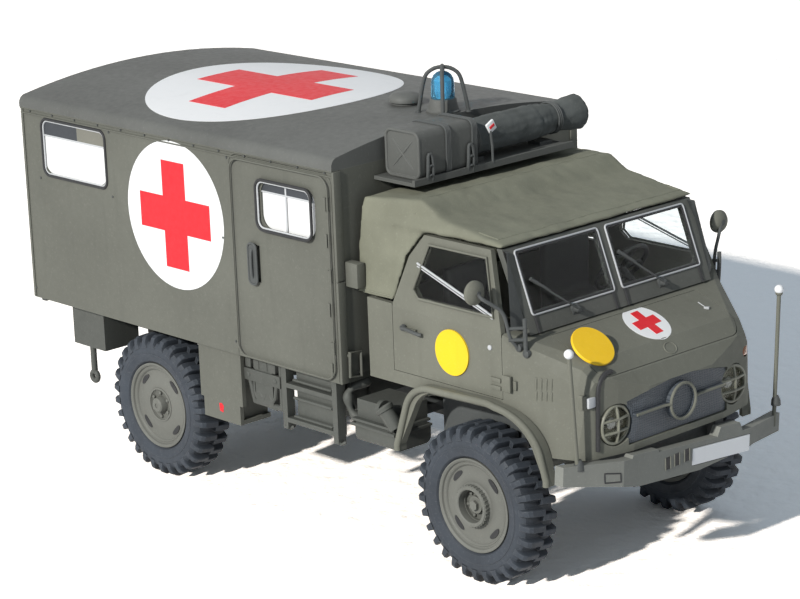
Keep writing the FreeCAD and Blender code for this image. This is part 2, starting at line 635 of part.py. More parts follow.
def bonnet_prism(gap):
    points = bonnet_points(gap)
    hatch = outline("xy", ("lip_high - bonnet_reach", "screen_top_high"), points)
    return rounded(hatch, f"bonnet_corner - {gap}", near("z", points[1:3]))


def grille_opening(gap):
    """Front view of the radiator opening with its arched top, drawn in by a gap."""
    half = [(f"grille_side - {gap}", f"grille_low + {gap}"), (f"grille_top_side - {gap}", f"grille_top_high - {gap}"),
            (f"grille_arch_side - {gap}", f"grille_arch_high - {gap}"),
            ("grille_crown_side", f"grille_high - {gap}")]
    points = [(f"nose_shift - ({y})", z) for y, z in half]
    points += [(f"nose_shift + ({y})", z) for y, z in reversed(half)]
    return outline("yz", (ahead("cowl_ahead"), ahead("front_overhang")), points)


def lamp_hole(way):
    return rod("x", (ahead("cowl_ahead"), ahead("front_overhang")),
               (f"nose_shift + {way}*lamp_side", "lamp_high"), "lamp_radius + shut_gap")


def cab_pieces():
    """Cab shell with its nose, the hatch in its top, the grille and the wings."""
    outer = cab_solid("0", False)
    inner = cab_solid("cab_wall", True)
    shell = cut(outer, inner)
    holes = [bonnet_prism("0"), grille_opening("0")]
    for span in (("-wing_side", "-wing_inner_side"), ("wing_inner_side", "wing_side")):
        holes.append(wing_solid("0", span))
    # Behind the wheel arches the cab ends higher than the nose does.
    holes.append(block((back("canvas_low_back + cab_wall"), back("wing_rear_top_back - cab_wall")),
                       mid("wing_side"), ("chin_low - cab_wall", "cab_low")))
    holes.append(block((back("canvas_low_back + cab_wall"), ahead("wing_front_top_ahead")),
                       mid("wing_inner_side"), ("chin_low - cab_wall", "cab_low")))
    for way in ("-1", "1"):
        holes.append(lamp_hole(way))
        holes.append(rod("x", (ahead("cowl_ahead"), ahead("front_overhang")),
                         (f"nose_shift + {way}*turn_side", "turn_high"), "turn_radius + shut_gap"))
        holes.append(door_outline(way, "0"))
    node("cab_shell", cut(shell, *holes))
    node("bonnet", common(shell, bonnet_prism("shut_gap")))

    skin = cut(cab_solid("grille_inset", False), cab_solid("cab_wall", True))
    panel = common(skin, grille_opening("shut_gap"))
    face = (ahead("chin_ahead - cab_wall"), ahead("nose_ahead - shut_gap"))
    bar = block(face, ("nose_shift - (lamp_side - lamp_radius - shut_gap)",
                       "nose_shift + (lamp_side - lamp_radius - shut_gap)"),
                ("grille_bar_high - grille_bar/2", "grille_bar_high + grille_bar/2"))
    boss = rod("x", (face[0], f"{face[1]} + grille_boss"), ("nose_shift", "grille_bar_high"), "grille_ring")
    hollow = rod("x", (face[1], f"{face[1]} + grille_boss"), ("nose_shift", "grille_bar_high"),
                 "grille_ring - grille_bar")
    node("grille", cut(fuse(cut(panel, lamp_hole("-1"), lamp_hole("1")), bar, boss), hollow))

    span = ("-wing_side", "-wing_inner_side")
    # The lip lies on the outside of the cab and follows it inwards along the nose.
    tall = ("wing_low - wing_wall", "belt_front")
    cab = outline("xy", tall, cab_plan_points("(-shut_gap)"))
    reach = outline("xy", tall, cab_plan_points("(cab_side - wing_side)"))
    band = cut(wing_solid("shut_gap", span), wing_solid("shut_gap + wing_wall", span))
    lip = cut(wing_solid("-wing_lip", span), wing_solid("shut_gap + wing_wall", span), cab)
    right = common(fuse(band, lip), reach)
    node("wing_right", right)
    node("wing_left", mirrored(right))


# ---------------------------------------------------------------- doors of the cab
def door_outline(way, gap):
    """Side view of a cab door, from the sill to the leaning window frame."""
    points = [(back(f"door_rear_back - {gap}"), f"door_low + {gap}"),
              (back(f"door_rear_back - {gap}"), "belt_rear"),
              (back(f"door_quarter_back - {gap}"), "door_quarter_high"),
              (back(f"door_head_rear_back - {gap}"), f"door_head_high - {gap}"),
              (ahead(f"door_head_front_ahead - {gap}"), f"door_head_high - {gap}"),
              (ahead(f"door_front_ahead - {gap}"), "belt_front"),
              (ahead(f"door_front_ahead - {gap}"), f"door_low + {gap}")]
    span = ("-wing_side", "-door_inner_side") if way == "-1" else ("door_inner_side", "wing_side")
    return outline("xz", span, points)


def lean_points(wall, low):
    """Half section of the cab's side: upright to the belt, then leaning in."""
    return [(f"-(cab_side - {wall})", low), (f"-(cab_side - {wall})", "belt_front"),
            (f"-(lean_top_side - {wall})", "lean_top_high"),
            (f"-(lean_top_side - {wall} - lean_rise)", "canvas_top_reach")]


def side_skin(low):
    """Right side skin of the cab, one wall thick, above a height."""
    outer = lean_points("0", low)
    inner = lean_points("cab_wall", low)
    return outline("yz", (back("canvas_low_back"), ahead("front_overhang")), outer + inner[::-1])


def pane_points(gap):
    return [(back(f"pane_rear_back - {gap}"), f"pane_sill + pane_sill_cut + {gap}"),
            (back(f"pane_head_rear_back - {gap}"), f"pane_head - {gap}"),
            (ahead(f"pane_head_front_ahead - {gap}"), f"pane_head - {gap}"),
            (ahead(f"pane_sill_front_ahead - {gap}"), f"pane_sill + {gap}"),
            (back(f"pane_rear_back - pane_sill_cut - {gap}"), f"pane_sill + {gap}")]


def cab_doors():
    span = ("-cab_side", "-door_inner_side")
    skin = common(side_skin("door_low"), door_outline("-1", "shut_gap"))
    window = outline("xz", span, pane_points("0"))
    handle = block((back("handle_back"), back("handle_back - handle_length")),
                   ("-(cab_side + handle_reach)", "-cab_side"),
                   ("handle_high", "handle_high + handle_height"))
    right = fuse(cut(skin, window), handle)
    node("door_right", right)
    node("door_left", mirrored(right))
    inset = "(cab_wall - pane_thickness)/2"
    outer = lean_points(inset, "door_low")
    inner = lean_points(f"{inset} + pane_thickness", "door_low")
    sheet_of_glass = outline("yz", (back("canvas_low_back"), ahead("front_overhang")), outer + inner[::-1])
    pane = common(sheet_of_glass, outline("xz", span, pane_points("glass_gap")))
    node("door_glass", both(pane, mirrored(pane)))


# ---------------------------------------------------------------- windscreen
def screen_slab(front, rear):
    """Leaning slab between two depths behind the windscreen's front face."""
    points = [(ahead(f"screen_base_ahead - {front}"), "screen_base_high"),
              (ahead(f"screen_top_ahead - {front}"), "screen_top_high"),
              (ahead(f"screen_top_ahead - {rear}"), "screen_top_high"),
              (ahead(f"screen_base_ahead - {rear}"), "screen_base_high")]
    return outline("xz", mid("screen_top_side"), points)


def screen_opening(way, gap):
    across = (f"screen_pillar/2 + {gap}", f"screen_base_side - screen_post - {gap}")
    up = (f"screen_base_high + screen_sill + {gap}", f"screen_top_high - screen_header - {gap}")
    if way == "-1":
        across = (f"-({across[1]})", f"-({across[0]})")
    return soft_block((back("0"), ahead("front_overhang")), across, up, "x", "screen_corner")


def windscreen():
    face = outline("yz", (back("0"), ahead("front_overhang")),
                   [("-screen_base_side", "screen_base_high"), ("screen_base_side", "screen_base_high"),
                    ("screen_top_side", "screen_top_high"), ("-screen_top_side", "screen_top_high")])
    frame = cut(common(screen_slab("0", "screen_thickness"), face),
                screen_opening("-1", "0"), screen_opening("1", "0"), cab_solid("0", False))
    node("windscreen_frame", frame)
    inset = "(screen_thickness - pane_thickness)/2"
    slab = screen_slab(inset, f"{inset} + pane_thickness")
    node("windscreen_glass", both(common(slab, screen_opening("-1", "glass_gap")),
                                  common(slab, screen_opening("1", "glass_gap"))))


# ---------------------------------------------------------------- canvas top
def canvas_points(wall):
    """Side view of the canvas, drawn in by its wall."""
    return [(back(f"canvas_low_back - {wall}"), f"belt_rear + shut_gap - {wall}"),
            (back(f"canvas_rear_back - {wall}"), f"canvas_rear_high - {wall}"),
            (back("canvas_hoop_back"), f"canvas_hoop_high - {wall}"),
            (back("canvas_slope_back"), f"canvas_slope_high - {wall}"),
            (ahead(f"canvas_front_ahead - {wall}"), f"canvas_lip_high - {wall}"),
            (ahead(f"canvas_front_ahead - {wall}"), f"canvas_low_front - {wall}"),
            (back("door_head_rear_back"), f"canvas_low_front - {wall}"),
            (back("door_rear_back"), f"belt_rear + shut_gap - {wall}")]


def canvas_solid(wall):
    side = outline("xz", mid("cab_side"), canvas_points(wall))
    half = lean_points(f"{wall} - canvas_proud", "belt_rear")
    whole = half + [(f"-({y})", z) for y, z in reversed(half)]
    section = outline("yz", (back("canvas_low_back"), ahead("canvas_front_ahead")), whole)
    return common(side, section)


def canvas_top():
    outer = canvas_solid("0")
    hollow = canvas_solid("canvas_wall")
    # The door's head and the windscreen's header sit under the canvas edge.
    doorway = [door_outline("-1", "-shut_gap"), door_outline("1", "-shut_gap")]
    header = block((back("0"), ahead("front_overhang")), mid("cab_side"),
                   ("belt_rear", "screen_top_high + shut_gap"))
    node("canvas_top", cut(outer, hollow, *doorway, header))


# ---------------------------------------------------------------- inside the cab
def cab_inside():
    inside = "(cab_side - cab_wall - shut_gap)"
    floor = block((back("cab_rear_back - cab_wall - shut_gap"), ahead("door_front_ahead - cab_wall")),
                  mid(inside), ("cab_floor_low", "cab_floor_low + cab_floor_thickness"))
    front = block((ahead("door_front_ahead - cab_wall"), ahead("floor_front_ahead")),
                  mid("wing_inner_side"), ("cab_floor_low", "cab_floor_low + cab_floor_thickness"))
    node("cab_floor", fuse(floor, front))
    floor_top = "(cab_floor_low + cab_floor_thickness)"
    dash = soft_block((ahead("dash_front_ahead - dash_depth"), ahead("dash_front_ahead")),
                      mid("nose_side - cab_wall - nose_bow"),
                      ("dash_low", "dash_low + dash_height"), "y", "seat_edge")
    stays = []
    for way in ("-1", "1"):
        stays.append(block((ahead("dash_front_ahead - dash_depth/2 - seat_edge"), ahead("dash_front_ahead - seat_edge")),
                           (f"{way}*cross_width - cross_width/2", f"{way}*cross_width + cross_width/2"),
                           (floor_top, "dash_low")))
    node("dashboard", fuse(dash, *stays))

    seats = []
    for way in ("-1", "1"):
        low, high = f"{way}*seat_side - seat_width/2", f"{way}*seat_side + seat_width/2"
        rear = back("seat_back")
        base = block((rear, f"{rear} + seat_length - seat_edge"), (f"{low} + seat_edge", f"{high} - seat_edge"),
                     (floor_top, f"{floor_top} + seat_base"))
        cushion = soft_block((rear, f"{rear} + seat_length"), (low, high),
                             (f"{floor_top} + seat_base", f"{floor_top} + seat_base + seat_cushion"),
                             "y", "seat_edge")
        rest = soft_block((f"{rear} - seat_rest_depth", rear), (low, high),
                          (floor_top, f"{floor_top} + seat_base + seat_rest_height"), "y", "seat_edge")
        seats.append(fuse(base, cushion, rest))
    node("seats", both(*seats))


def steering_wheel():
    """Rim, two spokes and column, made upright and then raked."""
    radius = value("steering_radius")
    wire = value("steering_rim")
    rim = Part.makeTorus(radius, wire)
    spokes = [Part.makeCylinder(wire, 2*radius, Vector(*start), Vector(*way))
              for start, way in (((-radius, 0, 0), (1, 0, 0)), ((0, -radius, 0), (0, 1, 0)))]
    column = Part.makeCylinder(value("column_radius"), value("column_length"), Vector(), Vector(0, 0, -1))
    wheel = doc.addObject("Part::Feature", "steering")
    wheel.Shape = rim.fuse([*spokes, column])
    wheel.Placement.Rotation = Rotation(Vector(0, 1, 0), value("steering_rake") - 90)
    node("steering_wheel", place(wheel, back("steering_back"), "steering_side", "steering_high"))


# ---------------------------------------------------------------- nose fittings
def lamps():
    pair = []
    guards = []
    turns = []
    for way in ("-1", "1"):
        centre = (f"nose_shift + {way}*lamp_side", "lamp_high")
        front = ahead("nose_cheek_ahead + lamp_reach")
        rear = ahead("nose_cheek_ahead - lamp_depth")
        pair.append(fuse(rod("x", (rear, f"{front} - lamp_rim"), centre, "lamp_radius"),
                         cone("x", f"{front} - lamp_rim", "lamp_rim", centre, "lamp_radius",
                              "lamp_radius - lamp_rim")))
        turn_front = ahead("nose_corner_ahead + turn_reach")
        turns.append(rod("x", (f"{turn_front} - turn_length", turn_front),
                         (f"nose_shift + {way}*turn_side", "turn_high"), "turn_radius"))
        # A flat hoop with a cross in it, on the face of the lamp.
        depth = (front, f"{front} + guard_depth")
        hoop = cut(rod("x", depth, centre, "lamp_radius - lamp_rim"),
                   rod("x", depth, centre, "lamp_radius - lamp_rim - guard_band"))
        inside = "(lamp_radius - lamp_rim - guard_band/2)"
        upright = block(depth, (f"{centre[0]} - guard_band/2", f"{centre[0]} + guard_band/2"),
                        (f"lamp_high - {inside}", f"lamp_high + {inside}"))
        level = block(depth, (f"{centre[0]} - {inside}", f"{centre[0]} + {inside}"),
                      ("lamp_high - guard_band/2", "lamp_high + guard_band/2"))
        guards.append(fuse(hoop, upright, level))
    node("headlamps", both(*pair))
    node("lamp_guards", both(*guards))
    node("turn_lamps", both(*turns))


def mirrors():
    elbow = (ahead("mirror_ahead"), "-mirror_side", "mirror_foot_high + mirror_elbow")
    foot = (ahead("mirror_foot_ahead"), "-mirror_foot_side", "mirror_foot_high")
    head = (ahead("mirror_ahead"), "-mirror_side", "mirror_high")
    arm = fuse(strut(foot, elbow, "mirror_arm"), ball(elbow, "mirror_arm"), strut(elbow, head, "mirror_arm"),
               ball(foot, "mirror_boss"))
    glass = rod("x", (f"{head[0]} - mirror_thickness/2", f"{head[0]} + mirror_thickness/2"),
                ("-mirror_side", "mirror_high"), "mirror_radius")
    # The foot ends on the skin of the cab.
    right = cut(fuse(arm, glass), cab_solid("0", False), side_skin("door_low"))
    node("mirrors", both(right, mirrored(right)))


BUMPER_REAR = ahead("front_overhang - bumper_depth")


def bumper():
    """Swept channel with two humps in front of the towing jaws."""
    def edge(inset):
        return [(ahead(f"front_overhang - {inset}"), "-bumper_bend_side"),
                (ahead(f"front_overhang - {inset}"), "bumper_bend_side"),
                (ahead(f"front_overhang - bumper_sweep - {inset}"), "bumper_side"),
                (ahead(f"front_overhang - bumper_sweep - {inset}"), "bumper_short - bumper_side")]
    front = edge("0")
    rear = edge("bumper_depth")
    plan = [front[3], front[0], front[1], front[2], rear[2], rear[1], rear[0], rear[3]]
    face = outline("yz", (ahead("front_overhang - bumper_sweep - bumper_depth"), ahead("front_overhang")),
                   [("bumper_short - bumper_side", "bumper_end_low"), ("-bumper_face_side", "bumper_side_low"),
                    ("-bumper_dip_out", "bumper_low"), ("bumper_dip_in", "bumper_low"),
                    ("bumper_face_side", "bumper_far_low"), ("bumper_side", "bumper_end_low"),
                    ("bumper_side", "bumper_high"), ("bumper_short - bumper_side", "bumper_high")])
    beam = common(outline("xy", ("bumper_low", "bumper_high"), plan), face)
    humps = []
    for way in ("-1", "1"):
        inner, outer = f"{way}*bumper_hump_in", f"{way}*bumper_hump_out"
        top = f"(bumper_hump_high + {way}*bumper_uneven)"
        slope = f"{way}*({top} - bumper_high)"
        humps.append(outline("yz", (BUMPER_REAR, ahead("front_overhang")),
                             [(inner, "bumper_high"), (outer, "bumper_high"),
                              (f"{outer} - {slope}/2", top), (f"{inner} + {slope}/2", top)]))
    channel = block((BUMPER_REAR, f"{BUMPER_REAR} + bumper_depth - bumper_wall"),
                    mid("bumper_channel_side"), ("bumper_low", "bumper_low + bumper_channel"))
    beam_and_humps = cut(fuse(beam, *humps), channel, plate_block("shut_gap"))
    node("front_bumper", cut(askew(beam_and_humps), cab_solid("0", False)))
    node("number_plate", askew(plate_block("0")))
    rods = []
    for way in ("-1", "1"):
        foot = (ahead("rod_ahead"), f"rod_shift + {way}*rod_foot_side",
                f"bumper_turn_high - {way}*rod_foot_rise")
        tip = (ahead("rod_ahead"), f"rod_shift + {way}*rod_tip_side", f"rod_high - {way}*rod_uneven")
        rods.append(cut(fuse(strut(foot, tip, "rod_radius"), ball(tip, "rod_ball")), askew(beam)))
    node("marker_rods", both(*rods))


def askew(shape):
    """The bumper sits crooked: its right end is higher."""
    turned = doc.addObject("Part::Compound", "askew")
    turned.Links = [shape]
    turned.Placement = FreeCAD.Placement(Vector(), Rotation(Vector(1, 0, 0), -value("bumper_tilt")),
                                         Vector(0, 0, value("bumper_turn_high")))
    return turned


def plate_block(gap):
    """Number plate, let into the bumper's face."""
    return block((ahead(f"front_overhang - plate_thickness - {gap}"), ahead("front_overhang")),
                 (f"plate_side - {gap}", f"plate_side + plate_length + {gap}"),
                 (f"plate_low - {gap}", f"plate_low + plate_height + {gap}"))


# ---------------------------------------------------------------- box body
INSIDE = "(box_side - box_wall)"
FLOOR_TOP = "(box_low + box_floor)"


def window_block(x, z, gap, low_y="-box_side - seal_proud", high_y="-box_side + 2*box_wall"):
    """Rounded opening through a side wall, drawn in by a gap."""
    return soft_block((f"{x[0]} + {gap}", f"{x[1]} - {gap}"), (low_y, high_y),
                      (f"{z[0]} + {gap}", f"{z[1]} - {gap}"), "y", f"window_corner - {gap}")


SIDE_WINDOW = ((f"{BOX_REAR} + side_window_margin", f"{BOX_REAR} + side_window_margin + side_window_length"),
               ("side_window_low", "side_window_high"))
DOOR_WINDOW = ((f"{BOX_FRONT} - door_window_margin - door_window_length", f"{BOX_FRONT} - door_window_margin"),
               ("door_window_low", "door_window_high"))
PANE_DEPTH = ("-box_side + box_wall/2 - window_glass/2", "-box_side + box_wall/2 + window_glass/2")


def side_door_block(gap):
    high = "box_eave - door_gap"
    front = f"{BOX_FRONT} - side_door_margin"
    panel = block((f"{front} - side_door_length + {gap}", f"{front} - {gap}"),
                  ("-box_side", f"-{INSIDE}"), ("box_low", f"{high} - side_door_head - {gap}"))
    top = value(f"{high} - side_door_head - {gap}")
    along_y = runs_along("y")
    return rounded(panel, f"side_door_corner - {gap}",
                   lambda edge: along_y(edge) and edge.Vertexes[0].Point.z > top - value("door_gap"))


def side_walls():
    wall = block((BOX_REAR, BOX_FRONT), ("-box_side", f"-{INSIDE}"), ("box_low", "box_eave"))
    node("box_wall_left", mirrored(cut(wall, window_block(*SIDE_WINDOW, "0"))))
    node("box_wall_right", cut(wall, window_block(*SIDE_WINDOW, "0"), side_door_block("0")))
    recess = block((f"{BOX_FRONT} - recess_margin - recess_length", f"{BOX_FRONT} - recess_margin"),
                   ("-box_side", "-box_side + recess_depth"), ("recess_low", "recess_low + recess_height"))
    hinges = []
    for low in ("hinge_low", "hinge_middle", "hinge_high"):
        hinges.append(rod("z", (low, f"{low} + hinge_length"),
                          (f"{BOX_FRONT} - side_door_margin - hinge_margin", "-box_side"), "hinge_radius"))
    leaf = cut(side_door_block("door_gap"), window_block(*DOOR_WINDOW, "0"), recess)
    node("side_door", fuse(leaf, *hinges))


def end_walls():
    inside = f"({INSIDE} - door_gap)"
    node("box_wall_front", block((f"{BOX_FRONT} - box_wall", BOX_FRONT), mid(inside),
                                 (FLOOR_TOP, "box_eave")))
    opening = (f"{FLOOR_TOP} + rear_door_sill", "box_eave - rear_door_head")
    side = f"({inside} - rear_door_frame)"
    wall = block((BOX_REAR, f"{BOX_REAR} + box_wall"), mid(inside), (FLOOR_TOP, "box_eave"))
    hole = block((BOX_REAR, f"{BOX_REAR} + box_wall"), mid(side), opening)
    node("box_wall_rear", cut(wall, hole))
    leaf = block((BOX_REAR, f"{BOX_REAR} + box_wall"), ("-" + side + " + door_gap", "-door_gap/2"),
                 (f"{opening[0]} + door_gap", f"{opening[1]} - door_gap"))
    window = rear_window("0")
    latch = block((f"{BOX_REAR} - latch_reach", BOX_REAR), (f"-{side} + latch_margin", f"latch_length + latch_margin - {side}"),
                  ("latch_high", "latch_high + handle_height"))
    right = fuse(cut(leaf, window), latch)
    node("rear_doors", both(right, mirrored(right)))


def rear_window(gap, x=(f"{BOX_REAR} - latch_reach", f"{BOX_REAR} + 2*box_wall")):
    return soft_block(x, (f"-rear_window_margin - rear_window_width + {gap}", f"-rear_window_margin - {gap}"),
                      (f"rear_window_low + {gap}", f"rear_window_high - {gap}"), "x", f"window_corner - {gap}")


def box_glass():
    side = window_block(*SIDE_WINDOW, "glass_gap", *PANE_DEPTH)
    door = window_block(*DOOR_WINDOW, "glass_gap", *PANE_DEPTH)
    rear = rear_window("glass_gap", (f"{BOX_REAR} + box_wall/2 - window_glass/2",
                                     f"{BOX_REAR} + box_wall/2 + window_glass/2"))
    node("box_glass", both(side, mirrored(side), door, rear, mirrored(rear)))


def box_roof():
    """Shallow lid with a curved crown and rounded eaves."""
    def vault(drop, x, half_width, low):
        slab = block(x, mid(half_width), (low, f"{ROOF_CROWN} + roof_edge"))
        return common(slab, rod("x", x, ("0", f"{ROOF_CROWN} - roof_radius"), f"roof_radius - {drop}"))
    outer = vault("0", (BOX_REAR, BOX_FRONT), "box_side + roof_rim", "box_eave")
    along_x = runs_along("x")
    edge_high = value("box_eave + roof_edge/2")
    outer = rounded(outer, "roof_corner", lambda edge: along_x(edge) and edge.Vertexes[0].Point.z > edge_high)
    inner = vault("roof_wall", (f"{BOX_REAR} + roof_wall", f"{BOX_FRONT} - roof_wall"), INSIDE,
                  "box_eave - roof_edge")
    node("box_roof", cut(outer, inner))


def box_floor():
    node("box_floor", block((BOX_REAR, BOX_FRONT), mid(f"{INSIDE} - door_gap"), ("box_low", FLOOR_TOP)))
    spacing = f"((({BOX_FRONT}) - ({BOX_REAR}) - 2*bearer_margin - bearer_width)/(bearer_count - 1))"
    bearers = []
    for number in range(int(value("bearer_count"))):
        start = f"{BOX_REAR} + bearer_margin + {number}*{spacing}"
        bearers.append(block((start, f"{start} + bearer_width"), mid("bearer_side"), (RAIL_TOP, "box_low")))
    node("box_bearers", both(*bearers))


# ---------------------------------------------------------------- on the roof and the front wall
def roof_fittings():
    vent = (back("vent_back"), "0")
    node("roof_vent", fuse(rod("z", (f"{ROOF_CROWN} + curve_gap", f"{ROOF_CROWN} + vent_neck_height"), vent, "vent_neck"),
                           rod("z", (f"{ROOF_CROWN} + vent_neck_height", f"{ROOF_CROWN} + vent_neck_height + vent_height/2"),
                               vent, "vent_radius"),
                           cone("z", f"{ROOF_CROWN} + vent_neck_height + vent_height/2", "vent_height/2", vent,
                                "vent_radius", "vent_radius - vent_height/2")))
    spot = (back("beacon_back"), "-beacon_side")
    base_top = f"({ROOF_CROWN} + beacon_base_height)"
    dome_centre = f"({base_top} + beacon_height - beacon_radius)"
    node("beacon", fuse(rod("z", (f"{ROOF_CROWN} + curve_gap", base_top), spot, "beacon_base"),
                        rod("z", (base_top, dome_centre), spot, "beacon_radius"),
                        ball((*spot, dome_centre), "beacon_radius")))
    bend = f"({CAGE_HIGH} - cage_wire - cage_half)"
    hoops = []
    # Two crossed hoops, made square to the vehicle and then turned about the beacon.
    for axis, (low_spot, high_spot) in (
            ("x", ((spot[0], f"{spot[1]} - cage_half"), (spot[0], f"{spot[1]} + cage_half"))),
            ("y", ((f"{spot[0]} - cage_half", spot[1]), (f"{spot[0]} + cage_half", spot[1])))):
        top = ring(axis, (*spot, bend), "cage_half", "cage_wire")
        half_space = block((f"{spot[0]} - cage_half - cage_bend", f"{spot[0]} + cage_half + cage_bend"),
                           (f"{spot[1]} - cage_half - cage_bend", f"{spot[1]} + cage_half + cage_bend"),
                           (bend, f"{CAGE_HIGH} + cage_bend"))
        hoops.append(common(top, half_space))
        for leg in (low_spot, high_spot):
            hoops.append(rod("z", (f"{ROOF_CROWN} + curve_gap", bend), leg, "cage_wire"))
    cage = doc.addObject("Part::Compound", "cage")
    cage.Links = [fuse(*hoops)]
    cage.Placement = FreeCAD.Placement(Vector(), Rotation(Vector(0, 0, 1), -value("cage_turn")),
                                       Vector(value(spot[0]), value(spot[1]), 0))
    node("beacon_guard", cage)


def roof_rack():
    """Shelf on the box's front wall, with a can and a rolled tarpaulin on it."""
    rear = f"{BOX_FRONT} + rack_gap"
    front = back("rack_front_back")
    width = ("-rack_right", "rack_left")
    shelf_top = "(rack_low + rack_shelf)"
    shelf = block((rear, front), width, ("rack_low", shelf_top))
    lip = block((f"{front} - rack_shelf", front), width, (shelf_top, f"{shelf_top} + rack_lip"))
    roll = (f"{rear} + tarp_radius + tarp_gap", f"{shelf_top} + cradle_reach + tarp_radius + curve_gap")
    cradles = []
    for middle in ("-tarp_inner_side + cradle_width", "rack_left - cradle_width"):
        cradles.append(block((f"{roll[0]} - cradle_width/2", f"{roll[0]} + cradle_width/2"),
                             (f"{middle} - cradle_width/2", f"{middle} + cradle_width/2"),
                             (shelf_top, f"{shelf_top} + cradle_reach")))
    node("roof_rack", fuse(shelf, lip, *cradles))
    inside_front = f"{front} - rack_shelf - rack_gap"
    node("stowage_can", soft_block((f"{inside_front} - can_depth", inside_front),
                                   ("-can_side", "can_length - can_side"),
                                   (f"{shelf_top} + can_low_gap", f"{shelf_top} + can_low_gap + can_height"),
                                   "y", "can_edge"))
    node("rolled_tarp", rod("y", ("-tarp_inner_side", "tarp_outer_side"), roll, "tarp_radius"))


# ---------------------------------------------------------------- below the box
def under_box():
    def sides(name, right):
        node(name, both(right, mirrored(right)))

    tank_x = (back("tank_rear_back"), back("tank_front_back"))
    tank_y = ("-tank_side", "tank_width - tank_side")
    top = "(tank_low + tank_height)"
    pan = soft_block(tank_x, tank_y, ("tank_low", "tank_seam_high"), "x", "tank_edge")
    seam = block((f"{tank_x[0]} - tank_seam_lip", tank_x[1]), (f"{tank_y[0]} - tank_seam_lip", tank_y[1]),
                 ("tank_seam_high", "tank_seam_high + tank_seam"))
    upper = block((tank_x[0], f"{tank_x[1]} - tank_shelf"), (f"{tank_y[0]} + tank_shelf", tank_y[1]),
                  ("tank_seam_high + tank_seam", top))
    foot = (back("filler_foot_back"), "filler_inset - tank_side", "filler_foot_high")
    mouth = (back("filler_back"), "filler_inset - tank_side", "filler_high")
    node("fuel_tank", fuse(pan, seam, upper, strut(foot, mouth, "filler_radius"),
                           strut(mouth, (f"{mouth[0]} - filler_cap_length", *mouth[1:]), "filler_cap")))
    node("battery_box", block(tank_x, ("tank_side - tank_width", "tank_side"), ("tank_low", top)))

    x = (back("step_rear_back"), back("step_front_back"))
    outer = "-step_side"
    frame = []
    for start in (x[0], f"{x[1]} - step_bar"):
        frame.append(block((start, f"{start} + step_bar"), (outer, f"{outer} + step_depth"), ("step_low", "box_low")))
    for low in ("step_upper_high", "step_lower_high"):
        frame.append(block(x, (outer, f"{outer} + step_depth"), (low, f"{low} + step_rail")))
    panel_y = (f"{outer} + step_panel_inset", f"{outer} + step_panel_inset + step_panel")
    frame.append(block((f"{x[0]} + step_panel_margin", x[1]), panel_y, ("step_lower_high", "box_low")))
    node("side_step", fuse(*frame))

    panel_x = (f"({REAR_AXLE} + tyre_radius + panel_tyre_gap)", back("panel_front_back"))
    panel = block(panel_x, ("-panel_side", "panel_thickness - panel_side"), ("panel_low", "box_low"))
    shelf = block((f"{panel_x[0]} + panel_thickness", f"{panel_x[1]} - panel_thickness"),
                  ("-panel_side", "shelf_depth - panel_side"), ("shelf_low", "shelf_low + shelf_thickness"))
    web = block((f"{panel_x[1]} - 3*panel_thickness", f"{panel_x[1]} - 2*panel_thickness"),
                ("panel_thickness - panel_side", "shelf_depth - panel_side"), ("shelf_low + shelf_thickness", "box_low"))
    post = block((f"{panel_x[0]} + panel_thickness", f"{panel_x[1]} - panel_thickness"),
                 ("-panel_side", "panel_thickness - panel_side"), ("shelf_low + shelf_thickness", "panel_low"))
    sides("mud_panels", fuse(panel, shelf, web, post))

    locker_x = (f"{BOX_REAR} + locker_margin", f"{BOX_REAR} + locker_margin + locker_length")
    locker = block(locker_x, ("-locker_side", "locker_width - locker_side"), ("locker_low", "box_low"))
    middle = f"{BOX_REAR} + locker_margin + locker_length/2"
    stem = rod("z", ("hook_low + hook_ring", "locker_low"), (middle, "hook_in - locker_side"), "hook_radius")
    eye = ring("y", (middle, "hook_in - locker_side", "hook_low"), "hook_ring", "hook_ring_wire")
    sides("rear_lockers", fuse(locker, stem, eye))

    bar_y = ("-bracket_side", "bracket_bar - bracket_side")
    bar = block((back("bracket_rear_back"), back("bracket_front_back")), bar_y,
                ("bracket_bar_low", "bracket_bar_low + bracket_bar_height"))
    lump = (back("bracket_block_rear_back"), back("bracket_block_rear_back - bracket_block_length"))
    holder = block(lump, ("-bracket_side", "bracket_block - bracket_side"), ("bracket_block_low", "box_low"))
    tube_y = "bracket_bar/2 - bracket_side"
    corner = (back("bracket_tube_back"), tube_y, "bracket_tube_low")
    end = (back("bracket_tube_end_back"), tube_y, "bracket_tube_low")
    tube = [strut((corner[0], tube_y, "box_low"), corner, "bracket_tube_radius"),
            ball(corner, "bracket_tube_radius"), strut(corner, end, "bracket_tube_radius"),
            ball(end, "bracket_tube_radius"),
            strut(end, (back("bracket_rear_back - bracket_bar"), tube_y, "bracket_bar_low + bracket_bar_height/2"),
                  "bracket_tube_radius")]
    link = block((back("bracket_front_back"), back("bracket_tube_back")), bar_y,
                 ("bracket_bar_low", "bracket_bar_low + bracket_bar"))
    node("tool_bracket", fuse(bar, holder, link, *tube))


